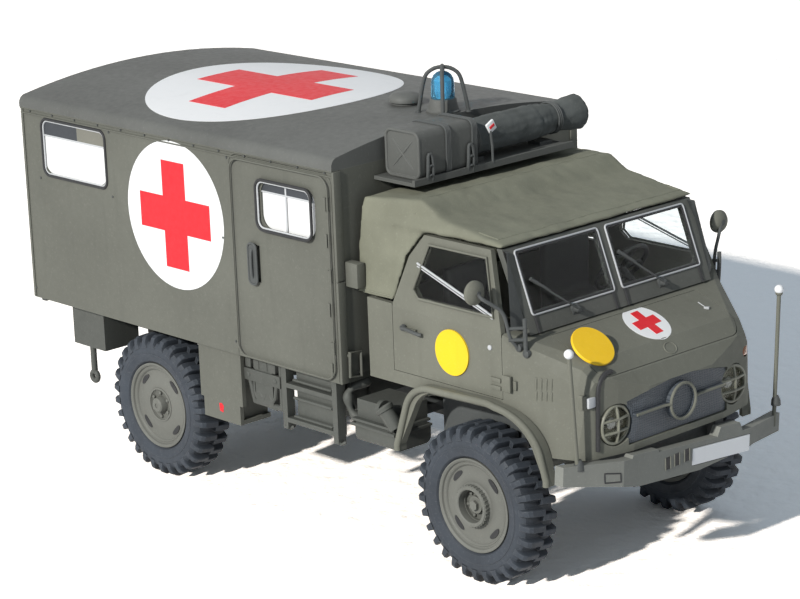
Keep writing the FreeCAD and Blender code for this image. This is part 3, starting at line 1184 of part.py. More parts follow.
def main():
    make_wheels()
    axle("front_axle", FRONT_AXLE)
    axle("rear_axle", REAR_AXLE)
    chassis_frame()
    coil_springs()
    engine_block()
    driveline()
    cab_pieces()
    cab_doors()
    windscreen()
    canvas_top()
    cab_inside()
    steering_wheel()
    lamps()
    mirrors()
    bumper()
    side_walls()
    end_walls()
    box_glass()
    box_roof()
    box_floor()
    roof_fittings()
    roof_rack()
    under_box()
    doc.recompute()
    failed = [thing.Name for thing in doc.Objects if {"Invalid", "Error"} & set(thing.State)]
    failed += [piece.Label for piece in nodes if piece.Shape.isNull() or not piece.Shape.isValid()]
    if failed:
        raise RuntimeError("these did not build: " + ", ".join(failed))
    os.makedirs("parts", exist_ok=True)
    for piece in nodes:
        piece.Shape.exportStep(f"parts/{piece.Label}.step")
    print(len(nodes), "nodes")


main()
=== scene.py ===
# %% [markdown]
# # A small military ambulance truck, dressed in Blender
# The solids of this 1:35 model come from the CAD pack, each already in its place.
# This lesson gives every solid a finish, and adds the small pieces that make it look
# built by hand: lugged tyres, pressed rims, window seals, lamps, markings and straps.
# Everything is in metres in the CAD frame: +X forward, +Y to the driver's left, +Z up.

# %% Load the frame
import math
import bmesh
import bpy
from mathutils import Matrix, Vector, noise as wobble
from mathutils.bvhtree import BVHTree
from mathutils.geometry import convex_hull_2d


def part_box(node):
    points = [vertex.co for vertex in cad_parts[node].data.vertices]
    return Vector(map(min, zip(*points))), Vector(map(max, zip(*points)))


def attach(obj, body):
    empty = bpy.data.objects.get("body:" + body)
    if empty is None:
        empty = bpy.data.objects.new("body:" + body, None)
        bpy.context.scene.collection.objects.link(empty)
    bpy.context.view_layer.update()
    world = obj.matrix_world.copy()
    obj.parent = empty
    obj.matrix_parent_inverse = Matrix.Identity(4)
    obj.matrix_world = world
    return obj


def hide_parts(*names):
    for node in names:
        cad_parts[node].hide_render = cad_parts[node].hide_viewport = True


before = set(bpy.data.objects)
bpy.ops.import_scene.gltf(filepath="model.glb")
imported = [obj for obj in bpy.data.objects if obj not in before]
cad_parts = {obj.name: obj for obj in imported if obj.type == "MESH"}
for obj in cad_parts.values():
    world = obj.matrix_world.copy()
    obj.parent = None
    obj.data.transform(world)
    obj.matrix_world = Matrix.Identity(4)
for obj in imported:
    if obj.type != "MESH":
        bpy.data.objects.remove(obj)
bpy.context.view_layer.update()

MM = 0.001

# %% [markdown]
# ## The camera
# A model truck looks right from a little above and well in front, through a long lens.
# The place is given as a point, and the view as a turn, a dip and a slight tilt of the
# head. From these three the camera's own axes follow, so nothing has to be aimed by eye.

# %% Camera
camera_data = bpy.data.cameras.new("camera")
camera = bpy.data.objects.new("camera", camera_data)
bpy.context.scene.collection.objects.link(camera)
bpy.context.scene.camera = camera
camera_data.sensor_width = 36
camera_data.lens = 126.75
camera_data.clip_start = 0.01
camera_data.clip_end = 20
stand = Vector((359.72, -328.36, 170.41))*MM

turn, dip, tilt = math.radians(47.46), math.radians(15.6), math.radians(-2.22)
back = Vector((math.sin(turn)*math.cos(dip), -math.cos(turn)*math.cos(dip), math.sin(dip)))
level = Vector((math.cos(turn), math.sin(turn), 0))
rise = back.cross(level)
across = math.cos(tilt)*level + math.sin(tilt)*rise
above = math.cos(tilt)*rise - math.sin(tilt)*level
camera.matrix_world = Matrix.Translation(stand) @ Matrix((across, above, back)).transposed().to_4x4()
print("camera at", [round(k, 3) for k in stand], "lens", camera_data.lens, "mm")

# %% [markdown]
# ## Floor and light
# A plain white floor with a faint plaster grain shows the shadow and nothing else.
# One small lamp far off on the truck's right side does the work of the sun, a wide soft one
# fills the nose, and a pale world keeps the shaded side readable. What the eye and the
# shiny parts see behind the truck is plain white, which the light path tells apart.

# %% Floor
# The sockets of a Mix node that mixes two colours.
AMOUNT, FIRST, SECOND, MIXED = 0, 6, 7, 2

def shader(name):
    """Give a new material, its nodes, its links and its main shader."""
    material = bpy.data.materials.new(name)
    material.use_nodes = True
    nodes, links = material.node_tree.nodes, material.node_tree.links
    return material, nodes, links, nodes["Principled BSDF"]

def plainly_seen(nodes, links):
    """One for rays from the eye, through clear parts and off shiny ones, else zero."""
    path = nodes.new("ShaderNodeLightPath")
    total = path.outputs["Is Camera Ray"]
    for kind in ("Is Transmission Ray", "Is Glossy Ray"):
        either = nodes.new("ShaderNodeMath")
        either.operation = "MAXIMUM"
        links.new(total, either.inputs[0])
        links.new(path.outputs[kind], either.inputs[1])
        total = either.outputs[0]
    return total

floor_mesh = bpy.data.meshes.new("floor")
reach = 1.6
floor_mesh.from_pydata([(-reach, -reach, 0), (reach, -reach, 0), (reach, reach, 0), (-reach, reach, 0)], [],
                       [(0, 1, 2, 3)])
floor = bpy.data.objects.new("floor", floor_mesh)
bpy.context.scene.collection.objects.link(floor)
plaster, nodes, links, main = shader("white_plaster")
nodes.remove(main)
matt = nodes.new("ShaderNodeBsdfDiffuse")
white = nodes.new("ShaderNodeMix")
white.data_type = "RGBA"
white.clamp_result = False
links.new(plainly_seen(nodes, links), white.inputs[AMOUNT])
white.inputs[FIRST].default_value = (0.70, 0.71, 0.73, 1)
white.inputs[SECOND].default_value = (2.05, 1.90, 1.76, 1)
links.new(white.outputs[MIXED], matt.inputs["Color"])
links.new(matt.outputs[0], nodes["Material Output"].inputs["Surface"])
grain = nodes.new("ShaderNodeTexNoise")
grain.inputs["Scale"].default_value = 260
grain.inputs["Detail"].default_value = 8
ripple = nodes.new("ShaderNodeBump")
ripple.inputs["Strength"].default_value = 0.6
ripple.inputs["Distance"].default_value = 0.0012
place = nodes.new("ShaderNodeTexCoord")
links.new(place.outputs["Object"], grain.inputs["Vector"])
links.new(grain.outputs["Fac"], ripple.inputs["Height"])
links.new(ripple.outputs["Normal"], matt.inputs["Normal"])
floor_mesh.materials.append(plaster)

print("floor laid,", 2*reach, "m wide")

# %% [markdown]
# ## Lamps and world
# A lamp's size decides how soft its shadow is: the small far one draws a sharp shadow, the
# wide near one hardly any. The world's own blue lights the shaded side.

# %% Lamps and world
def lamp(name, spot, target, size, power, tint=(1, 1, 1)):
    """Hang a square soft lamp that faces a target; both are in metres."""
    light = bpy.data.lights.new(name, "AREA")
    light.size = size
    light.energy = power
    light.color = tint
    holder = bpy.data.objects.new(name, light)
    holder.location = spot
    holder.rotation_euler = (Vector(spot) - Vector(target)).to_track_quat("Z", "Y").to_euler()
    bpy.context.scene.collection.objects.link(holder)

lamp("sun_side", (0.37, -2.61, 1.43), (0, 0, 0.02), 0.09, 108.0, (1.0, 0.985, 0.95))
lamp("front_fill", (1.3, -0.6, 0.7), (0.02, 0, 0.03), 0.9, 0.25, (0.92, 0.96, 1.0))

world = bpy.data.worlds.new("studio")
bpy.context.scene.world = world
world.use_nodes = True
sky, ties = world.node_tree.nodes, world.node_tree.links
sky.clear()
soft = sky.new("ShaderNodeBackground")
soft.inputs["Color"].default_value = (0.66, 0.82, 1.0, 1)
soft.inputs["Strength"].default_value = 0.27
plain = sky.new("ShaderNodeBackground")
plain.inputs["Color"].default_value = (1, 1, 1, 1)
plain.inputs["Strength"].default_value = 1.0
blend = sky.new("ShaderNodeMixShader")
out = sky.new("ShaderNodeOutputWorld")
ties.new(plainly_seen(sky, ties), blend.inputs["Fac"])
ties.new(soft.outputs[0], blend.inputs[1])
ties.new(plain.outputs[0], blend.inputs[2])
ties.new(blend.outputs[0], out.inputs["Surface"])
bpy.context.scene.view_settings.view_transform = "Standard"
print("lamps:", [thing.name for thing in bpy.data.lights])

# %% [markdown]
# ## One recipe for hand-painted plastic
# Brush paint on a model is never one colour. It has slow patches where the paint was
# thinned, fine grain from dried pigment, darker dirt and painted shade in corners, and paler
# rubbed edges. Noise gives the patches and the grain, ambient occlusion finds the corners,
# and the bevel node finds the edges, because its normal differs from the true one there.

# %% Paint recipe
def mixed(nodes, links, amount, first, second, mode="MIX"):
    """Mix two colours by an amount; each is a socket or a plain colour."""
    mixer = nodes.new("ShaderNodeMix")
    mixer.data_type = "RGBA"
    mixer.blend_type = mode
    for number, source in ((AMOUNT, amount), (FIRST, first), (SECOND, second)):
        socket = mixer.inputs[number]
        if isinstance(source, bpy.types.NodeSocket):
            links.new(source, socket)
        else:
            socket.default_value = source if isinstance(source, (int, float)) else (*source, 1)
    return mixer.outputs[MIXED]

def ranged(nodes, links, source, low, high, to_low=0.0, to_high=1.0):
    """Stretch a value from one range to another, held at both ends."""
    stretch = nodes.new("ShaderNodeMapRange")
    links.new(source, stretch.inputs["Value"])
    for name, number in zip(("From Min", "From Max", "To Min", "To Max"), (low, high, to_low, to_high)):
        stretch.inputs[name].default_value = number
    return stretch.outputs["Result"]

def noise(nodes, links, scale, detail=4, stretch=(1, 1, 1), offset=0.0):
    """Noise in the frame's metres, so that its grain has a real size."""
    place = nodes.new("ShaderNodeTexCoord")
    spread = nodes.new("ShaderNodeMapping")
    spread.inputs["Scale"].default_value = stretch
    spread.inputs["Location"].default_value = (offset, offset, offset)
    pattern = nodes.new("ShaderNodeTexNoise")
    pattern.inputs["Scale"].default_value = scale
    pattern.inputs["Detail"].default_value = detail
    links.new(place.outputs["Object"], spread.inputs["Vector"])
    links.new(spread.outputs["Vector"], pattern.inputs["Vector"])
    return pattern.outputs["Fac"]

def worn_edges(nodes, links, radius):
    """Zero on flat faces and one on sharp edges."""
    rounded = nodes.new("ShaderNodeBevel")
    rounded.samples = 3
    rounded.inputs["Radius"].default_value = radius*MM
    true = nodes.new("ShaderNodeNewGeometry")
    likeness = nodes.new("ShaderNodeVectorMath")
    likeness.operation = "DOT_PRODUCT"
    links.new(rounded.outputs["Normal"], likeness.inputs[0])
    links.new(true.outputs["Normal"], likeness.inputs[1])
    return ranged(nodes, links, likeness.outputs["Value"], 0.995, 0.80)

def relief(nodes, links, main, height, strength, depth):
    """Raise the surface by a height pattern; the depth is in mm."""
    bump = nodes.new("ShaderNodeBump")
    bump.inputs["Strength"].default_value = strength
    bump.inputs["Distance"].default_value = depth*MM
    links.new(height, bump.inputs["Height"])
    links.new(bump.outputs["Normal"], main.inputs["Normal"])

def corners(nodes, links, distance):
    """One in tight corners and zero in the open: the mask for dirt and painted shade in corners."""
    crease = nodes.new("ShaderNodeAmbientOcclusion")
    crease.samples = 4
    crease.inputs["Distance"].default_value = distance*MM
    return ranged(nodes, links, crease.outputs["AO"], 0.95, 0.35)

print("patterns ready for the paints")

# %% [markdown]
# ## Layers of a coat
# A coat goes on in layers, each mixed over the last by one of the patterns: patches,
# specks, streaks, dust on faces that look up, dirt with painted shade in corners, and rubbed
# edges last.

# %% Brushed paint
def paint(name, colour, pale=None, dark=0.55, patch=0.10, rub=0.35, dirt_and_shade=0.55, rough=0.62, grain=0.25,
          dust=0.12, sheen=0.0, patch_scale=45, gloss=0.35):
    """Brushed paint: slow patches, pigment grain, rubbed edges, dirt and painted shade in corners and dust on top.
    """
    material, nodes, links, main = shader(name)
    pale = pale or [min(1, 1.55*c + 0.03) for c in colour]
    deep = [dark*c for c in colour]
    patches = ranged(nodes, links, noise(nodes, links, patch_scale, 5), 0.35, 0.68)
    darker, paler = [c*(1 - patch) for c in colour], [min(1, c*(1 + patch)) for c in colour]
    tone = mixed(nodes, links, patches, darker, paler)
    specks = ranged(nodes, links, noise(nodes, links, 2600, 3, offset=3.0), 0.60, 0.72, 0, 0.22)
    tone = mixed(nodes, links, specks, tone, pale)
    streaks = ranged(nodes, links, noise(nodes, links, 420, 4, (1, 1, 0.12), 7.0), 0.56, 0.78, 0, 0.20)
    tone = mixed(nodes, links, streaks, tone, deep)
    up = nodes.new("ShaderNodeNewGeometry")
    split = nodes.new("ShaderNodeSeparateXYZ")
    links.new(up.outputs["Normal"], split.inputs["Vector"])
    tone = mixed(nodes, links, ranged(nodes, links, split.outputs["Z"], 0.2, 1.0, 0, dust), tone, pale)
    # Darker in tight corners: dirt, with painted shade added where the corners lie in shade.
    tone = mixed(nodes, links, ranged(nodes, links, corners(nodes, links, 1.6), 0, 1, 0, dirt_and_shade), tone, deep)
    tone = mixed(nodes, links, ranged(nodes, links, worn_edges(nodes, links, 0.16), 0, 1, 0, rub), tone, pale)
    links.new(tone, main.inputs["Base Color"])
    shine = ranged(nodes, links, noise(nodes, links, 900, 3, offset=1.0), 0.3, 0.7, rough - 0.06, rough + 0.08)
    links.new(shine, main.inputs["Roughness"])
    main.inputs["Specular IOR Level"].default_value = gloss
    main.inputs["Sheen Weight"].default_value = sheen
    relief(nodes, links, main, noise(nodes, links, 3200, 5, offset=5.0), grain, 0.06)
    return material

body_olive = paint("body_olive", (0.154, 0.155, 0.126), rough=0.7, dust=0.03)
box_olive = paint("box_olive", (0.118, 0.120, 0.101), rough=0.7, dust=0.03)
screen_olive = paint("screen_olive", (0.105, 0.108, 0.096), rough=0.7, dust=0.02)
# Painted shade: the roof and its fittings are painted darker than the box walls, for the weaker light that falls
# on them.
roof_olive_painted_shade = paint("roof_olive_painted_shade", (0.106, 0.109, 0.102), patch=0.14, dust=0.02)
under_olive = paint("under_olive", (0.074, 0.078, 0.070), rub=0.4, dirt_and_shade=0.7, dust=0.05)
can_olive = paint("can_olive", (0.096, 0.099, 0.092), rub=0.45, dust=0.03)
chassis_olive = paint("chassis_olive", (0.085, 0.088, 0.074), rub=0.5, dirt_and_shade=0.7)
# Painted light: the bumper is a paler copy of the body paint, for the sun that falls on its front.
bumper_olive_painted_light = paint("bumper_olive_painted_light", (0.198, 0.202, 0.182), rough=0.7, dust=0.03)
dark_olive = paint("dark_olive", (0.066, 0.071, 0.070), rub=0.3, dirt_and_shade=0.6)
cab_black = paint("cab_black", (0.035, 0.036, 0.034), pale=(0.12, 0.12, 0.11), rub=0.4)
canvas_khaki = paint("canvas_khaki", (0.198, 0.199, 0.150), pale=(0.31, 0.32, 0.25), patch=0.12,
                     patch_scale=110, rub=0.45, dirt_and_shade=0.5, rough=0.75, grain=0.5, dust=0.10, gloss=0.2)
tarp_khaki = paint("tarp_khaki", (0.092, 0.099, 0.096), pale=(0.20, 0.21, 0.19), patch=0.2, patch_scale=160,
                   rub=0.5, dirt_and_shade=0.65, rough=0.8, grain=0.6, gloss=0.2)
white_enamel = paint("white_enamel", (0.86, 0.86, 0.86), pale=(0.92, 0.92, 0.92), dark=0.82, patch=0.02,
                     rub=0.1, dirt_and_shade=0.2, rough=0.5, dust=0)
red_enamel = paint("red_enamel", (0.74, 0.016, 0.026), pale=(0.78, 0.05, 0.06), dark=0.8, patch=0.04, rub=0.1,
                   dirt_and_shade=0.15, rough=0.5, dust=0)
yellow_plate = paint("yellow_plate", (0.98, 0.60, 0.018), pale=(0.98, 0.75, 0.12), dark=0.75, patch=0.08,
                     rub=0.2, dirt_and_shade=0.2, rough=0.5, dust=0)
yellow_enamel = paint("yellow_enamel", (0.82, 0.56, 0.014), pale=(0.90, 0.70, 0.12), dark=0.75, patch=0.10,
                      rub=0.2, dirt_and_shade=0.3, rough=0.5, dust=0)
rubber_black = paint("rubber_black", (0.020, 0.021, 0.023), pale=(0.09, 0.09, 0.09), rub=0.2, rough=0.6)
tyre_rubber = paint("tyre_rubber", (0.036, 0.044, 0.056), pale=(0.15, 0.16, 0.17), dark=0.4, patch=0.22,
                    rub=0.30, dirt_and_shade=0.75, rough=0.66, grain=0.35, dust=0.05, patch_scale=90)
rim_olive = paint("rim_olive", (0.138, 0.140, 0.124), rub=0.35, dirt_and_shade=0.9, patch=0.10)
bright_metal = paint("bright_metal", (0.52, 0.53, 0.54), pale=(0.70, 0.70, 0.70), patch=0.06, rub=0.3,
                     rough=0.38, dust=0)
print("paints mixed:", len(bpy.data.materials))

# %% [markdown]
# ## Clear plastic
# Model glazing is clear styrene: it lets light through, holds a soft reflection and has a
# faint film that varies in patches. The rear windows are frosted white on the inside, and the
# beacon is tinted blue. Each keeps its tint in the shader's own colour.

# %% Clear plastics
def clear(name, tint, rough=0.01, see_through=1.0, haze=0.0):
    """Thin clear plastic with a faint film of dust."""
    material, nodes, links, main = shader(name)
    main.inputs["Base Color"].default_value = (*tint, 1)
    main.inputs["Transmission Weight"].default_value = see_through
    main.inputs["IOR"].default_value = 1.17
    film = ranged(nodes, links, noise(nodes, links, 300, 5), 0.35, 0.75, rough, rough + 0.02 + haze)
    links.new(film, main.inputs["Roughness"])
    return material

clear_pane = clear("clear_pane", (0.88, 0.91, 0.92))
screen_pane = clear("screen_pane", (0.84, 0.88, 0.90))
pale_blue = paint("pale_blue", (0.25, 0.62, 0.80), pale=(0.6, 0.85, 0.95), patch=0.2, rough=0.3, dust=0)
red_lens = clear("red_lens", (0.60, 0.03, 0.03), rough=0.12, see_through=0.4)
blue_lens = clear("blue_lens", (0.22, 0.62, 0.90), rough=0.05, see_through=0.85)
frosted_pane = paint("frosted_pane", (0.84, 0.84, 0.83), pale=(0.90, 0.90, 0.89), dark=0.8, patch=0.05, rub=0.0,
                     dirt_and_shade=0.35, rough=0.16, dust=0, grain=0.03, gloss=0.6)
grey_blind = paint("grey_blind", (0.055, 0.060, 0.068), patch=0.12, rough=0.5, gloss=0.15, grain=0.05, dust=0)
tan_blind = paint("tan_blind", (0.20, 0.195, 0.165), patch=0.12, rough=0.5, gloss=0.15, grain=0.05, dust=0)

# %% [markdown]
# ## Finishing the solids
# Every solid that stays visible gets a finish for what it is: body paint on the sheet
# panels, khaki on the moulded canvas, and darker paint on the running gear and on the
# parts under the box.

# %% Give each solid its finish
finishes = {
    body_olive: ("cab_shell", "bonnet", "door_left", "door_right", "wing_left", "wing_right",
                 "mirrors", "marker_rods", "lamp_guards"),
    bumper_olive_painted_light: ("front_bumper",),
    box_olive: ("box_wall_left", "box_wall_right", "box_wall_rear", "box_wall_front", "rear_doors", "side_door",
                "mud_panels"),
    under_olive: ("side_step", "rear_lockers", "battery_box", "fuel_tank", "tool_bracket", "box_bearers"),
    can_olive: ("stowage_can", "roof_rack"),
    roof_olive_painted_shade: ("box_roof", "roof_vent"),
    canvas_khaki: ("canvas_top",),
    tarp_khaki: ("rolled_tarp",),
    dark_olive: ("grille", "chassis_frame", "engine_block", "driveline", "beacon_guard"),
    screen_olive: ("windscreen_frame",),
    chassis_olive: ("front_axle", "rear_axle", "coil_springs", "box_floor", "cab_floor"),
    cab_black: ("dashboard", "seats", "steering_wheel"),
    clear_pane: ("door_glass",),
    screen_pane: ("windscreen_glass",),
    frosted_pane: ("box_glass",),
    blue_lens: ("beacon",),
    white_enamel: ("number_plate", "headlamps", "turn_lamps"),
    tyre_rubber: ("tyre_front_left", "tyre_front_right", "tyre_rear_left", "tyre_rear_right"),
    rim_olive: ("rim_front_left", "rim_front_right", "rim_rear_left", "rim_rear_right"),
}
def repaint(mesh, finish):
    mesh.materials.clear()
    mesh.materials.append(finish)

for material, names in finishes.items():
    for name in names:
        repaint(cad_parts[name].data, material)
print("solids without a finish:", sorted(set(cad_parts) - set(sum(finishes.values(), ()))))

# %% [markdown]
# ## A small workshop
# Most small parts are one of four things: a turned part, a flat plate, a bent wire or a
# block with eased edges. A piece collects such forms in millimetres, then becomes one
# object with a finish and the body that it rides on.

# %% Forms and pieces
X, Y, Z = Vector((1, 0, 0)), Vector((0, 1, 0)), Vector((0, 0, 1))
AXES = {"x": (X, Y, Z), "y": (Y, Z, X), "z": (Z, X, Y)}
TINY = 1e-6

def outward(way):
    """Axes of a turned part that stands out of the side wall on the way side."""
    return Vector((0, way, 0)), X, Z

def circle(centre, radius, one, two, steps):
    """Points round a centre, from one direction towards two."""
    turns = [2*math.pi*n/steps for n in range(steps)]
    return [centre + radius*(math.cos(turn)*one + math.sin(turn)*two) for turn in turns]

class Piece:
    """Forms gathered in millimetres, which become one object."""
    def __init__(self, name):
        self.name = name
        self.mesh = bmesh.new()

    def facet(self, corners):
        try:
            return self.mesh.faces.new(corners)
        except ValueError:
            return None

    def corners(self, points):
        return [self.mesh.verts.new(point) for point in points]

    def band(self, first, second):
        """Faces between two closed rows of corners."""
        for n in range(len(first)):
            after = (n + 1) % len(first)
            self.facet([first[n], first[after], second[after], second[n]])

    def turned(self, profile, centre, axis="x", steps=48):
        """Turn (along, radius) points round an axis through a centre; a radius of 0 is a tip."""
        along, one, two = AXES[axis] if isinstance(axis, str) else axis
        centre = Vector(centre)
        rings = []
        for far, radius in profile:
            spot = centre + along*far
            rings.append(self.corners([spot] if radius < TINY else circle(spot, radius, one, two, steps)))
        for first, second in zip(rings, rings[1:]):
            for n in range(steps):
                a, b = first[n % len(first)], first[(n + 1) % len(first)]
                c, d = second[(n + 1) % len(second)], second[n % len(second)]
                corners = [v for k, v in enumerate((a, b, c, d)) if v not in (a, b, c, d)[:k]]
                if len(corners) > 2:
                    self.facet(corners)
        return self

    def plate(self, outline, axis, low, high, ease=0.0):
        """Raise a flat outline, given on the two other axes in order, from one level to another."""
        along, one, two = AXES[axis]
        middle = Vector((sum(p[0] for p in outline)/len(outline), sum(p[1] for p in outline)/len(outline)))
        levels = [(low, 0.0), (high - ease, 0.0)] + ([(high, ease)] if ease else [])
        loops = []
        for level, inset in levels:
            loop = []
            for p in outline:
                spot = Vector(p)
                away = spot - middle
                if inset and away.length > TINY:
                    spot = spot - away.normalized()*inset
                loop.append(along*level + one*spot[0] + two*spot[1])
            loops.append(self.corners(loop))
        self.facet(loops[0][::-1])
        self.facet(loops[-1])
        for first, second in zip(loops, loops[1:]):
            self.band(first, second)
        return self

    def block(self, low, high, ease=0.12, turn=None):
        """A block with eased edges; turn is (angle in degrees, axis) about its middle."""
        low, high = Vector(low), Vector(high)
        made = bmesh.ops.create_cube(self.mesh, size=1.0)["verts"]
        spin = Matrix.Rotation(math.radians(turn[0]), 3, turn[1]) if turn else Matrix.Identity(3)
        for vert in made:
            vert.co = (low + high)/2 + spin @ Vector([vert.co[k]*(high[k] - low[k]) for k in range(3)])
        if ease:
            edges = list({edge for vert in made for edge in vert.link_edges})
            bmesh.ops.bevel(self.mesh, geom=edges, offset=ease, segments=2, affect="EDGES", profile=0.6)
        return self

    def wire(self, points, radius, sides=10, closed=False, smooth=0):
        """A bent wire or tube through points; smooth adds that many corner-cutting passes."""
        points = [Vector(p) for p in points]
        for _ in range(smooth):
            pairs = list(zip(points, points[1:])) + ([(points[-1], points[0])] if closed else [])
            cut = [q for a, b in pairs for q in (a.lerp(b, 0.25), a.lerp(b, 0.75))]
            points = cut if closed else [points[0]] + cut + [points[-1]]
        count = len(points)
        side = None
        rings = []
        for n, point in enumerate(points):
            before = points[n - 1] if n or closed else point
            after = points[(n + 1) % count] if n < count - 1 or closed else point
            way = (after - before).normalized()
            if side is None:
                side = way.orthogonal().normalized()
            side = (side - way*side.dot(way)).normalized()
            other = way.cross(side)
            width = radius(n/(count - 1)) if callable(radius) else radius
            rings.append(self.corners(circle(point, width, side, other, sides)))
        for first, second in zip(rings, rings[1:] + (rings[:1] if closed else [])):
            self.band(first, second)
        if not closed:
            self.facet(rings[0][::-1])
            self.facet(rings[-1])
        return self

    def done(self, finish, body="truck", slot="body_paint", stands_for=(), crisp=35):
        """Close the piece: right way out, in metres, finished and riding; the slot is not used."""
        bmesh.ops.recalc_face_normals(self.mesh, faces=self.mesh.faces)
        for vert in self.mesh.verts:
            vert.co *= MM
        data = bpy.data.meshes.new(self.name)
        self.mesh.to_mesh(data)
        self.mesh.free()
        data.materials.append(finish)
        data.shade_smooth()
        data.set_sharp_from_angle(angle=math.radians(crisp))
        piece = bpy.data.objects.new(self.name, data)
        bpy.context.scene.collection.objects.link(piece)
        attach(piece, body)
        if stands_for:
            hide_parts(*stands_for)
        return piece

def node_box(name):
    """Lowest and highest corner of a solid, in millimetres."""
    low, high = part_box(name)
    return Vector(low)/MM, Vector(high)/MM

# %% [markdown]
# ## Tyres
# A military bar tread has two rows of blocks that meet in a zigzag on the middle line and
# wrap over the shoulder. The carcass is turned from a rounded section, and each block is
# lofted through five sections, which set it on the carcass and run it down the shoulder.
# Rings moulded on the sidewall catch the light the way the soft vinyl does.

# %% Tread and sidewall
def tyre(name, body, lowest, highest):
    """A carcass turned from one section, and a row of lugs down each shoulder."""
    middle = (lowest + highest)/2
    outer = (highest.x - lowest.x)/2
    half = (highest.y - lowest.y)/2
    lug_height, lug_ease, blocks = 1.15, 0.12, 30
    carcass = outer - lug_height
    piece = Piece(name + "_tread")
    bead = 8.02
    section = [(-half + 0.9, bead), (-half + 0.35, bead + 0.5), (-half + 0.12, bead + 1.5),
               (-half + 0.05, bead + 1.9), (-half + 0.16, bead + 2.0), (-half + 0.10, bead + 2.6),
               (-half + 0.25, carcass - 0.9), (-half + 0.7, carcass - 0.3), (-half + 1.5, carcass - 0.02),
               (-half*0.4, carcass + 0.05), (0, carcass + 0.08)]
    section += [(-along, radius) for along, radius in section[-2::-1]]
    piece.turned(section + section[:1], middle, "y", 120)
    # Along the axle, foot and top height, half width at the foot and the top, and lean.
    stations = [(-0.25, carcass - 0.4, outer - 0.05, 0.80, 0.55, -0.30),
                (1.2, carcass - 0.4, outer, 0.82, 0.56, -0.10),
                (half - 1.1, carcass - 0.6, outer - 0.05, 0.80, 0.55, 0.12),
                (half - 0.45, carcass - 0.9, outer - 0.45, 0.76, 0.50, 0.16),
                (half - 0.05, carcass - 1.2, carcass - 0.25, 0.62, 0.40, 0.18)]
    for way in (-1, 1):
        for n in range(blocks):
            angle = 2*math.pi*(n + (0.5 if way > 0 else 0))/blocks
            spin = Matrix.Rotation(angle, 3, "Y")
            rings = []
            for along, low, high, foot, top, lean in stations:
                eased = high - lug_ease
                outline = ((lean - foot, low), (lean + foot, low), (lean + top, eased),
                           (lean + top - lug_ease, high), (lean - top + lug_ease, high), (lean - top, eased))
                rings.append(piece.corners([middle + spin @ Vector((x*way, way*along, z)) for x, z in outline]))
            for first, second in zip(rings, rings[1:]):
                piece.band(first, second)
            piece.facet(rings[0])
            piece.facet(rings[-1])
    return piece.done(tyre_rubber, body, "tyre", (name,), crisp=28)

for name in ("front_left", "front_right", "rear_left", "rear_right"):
    made = tyre("tyre_" + name, "wheel_" + name, *node_box("tyre_" + name))
    print(made.name, len(made.data.polygons), "faces")
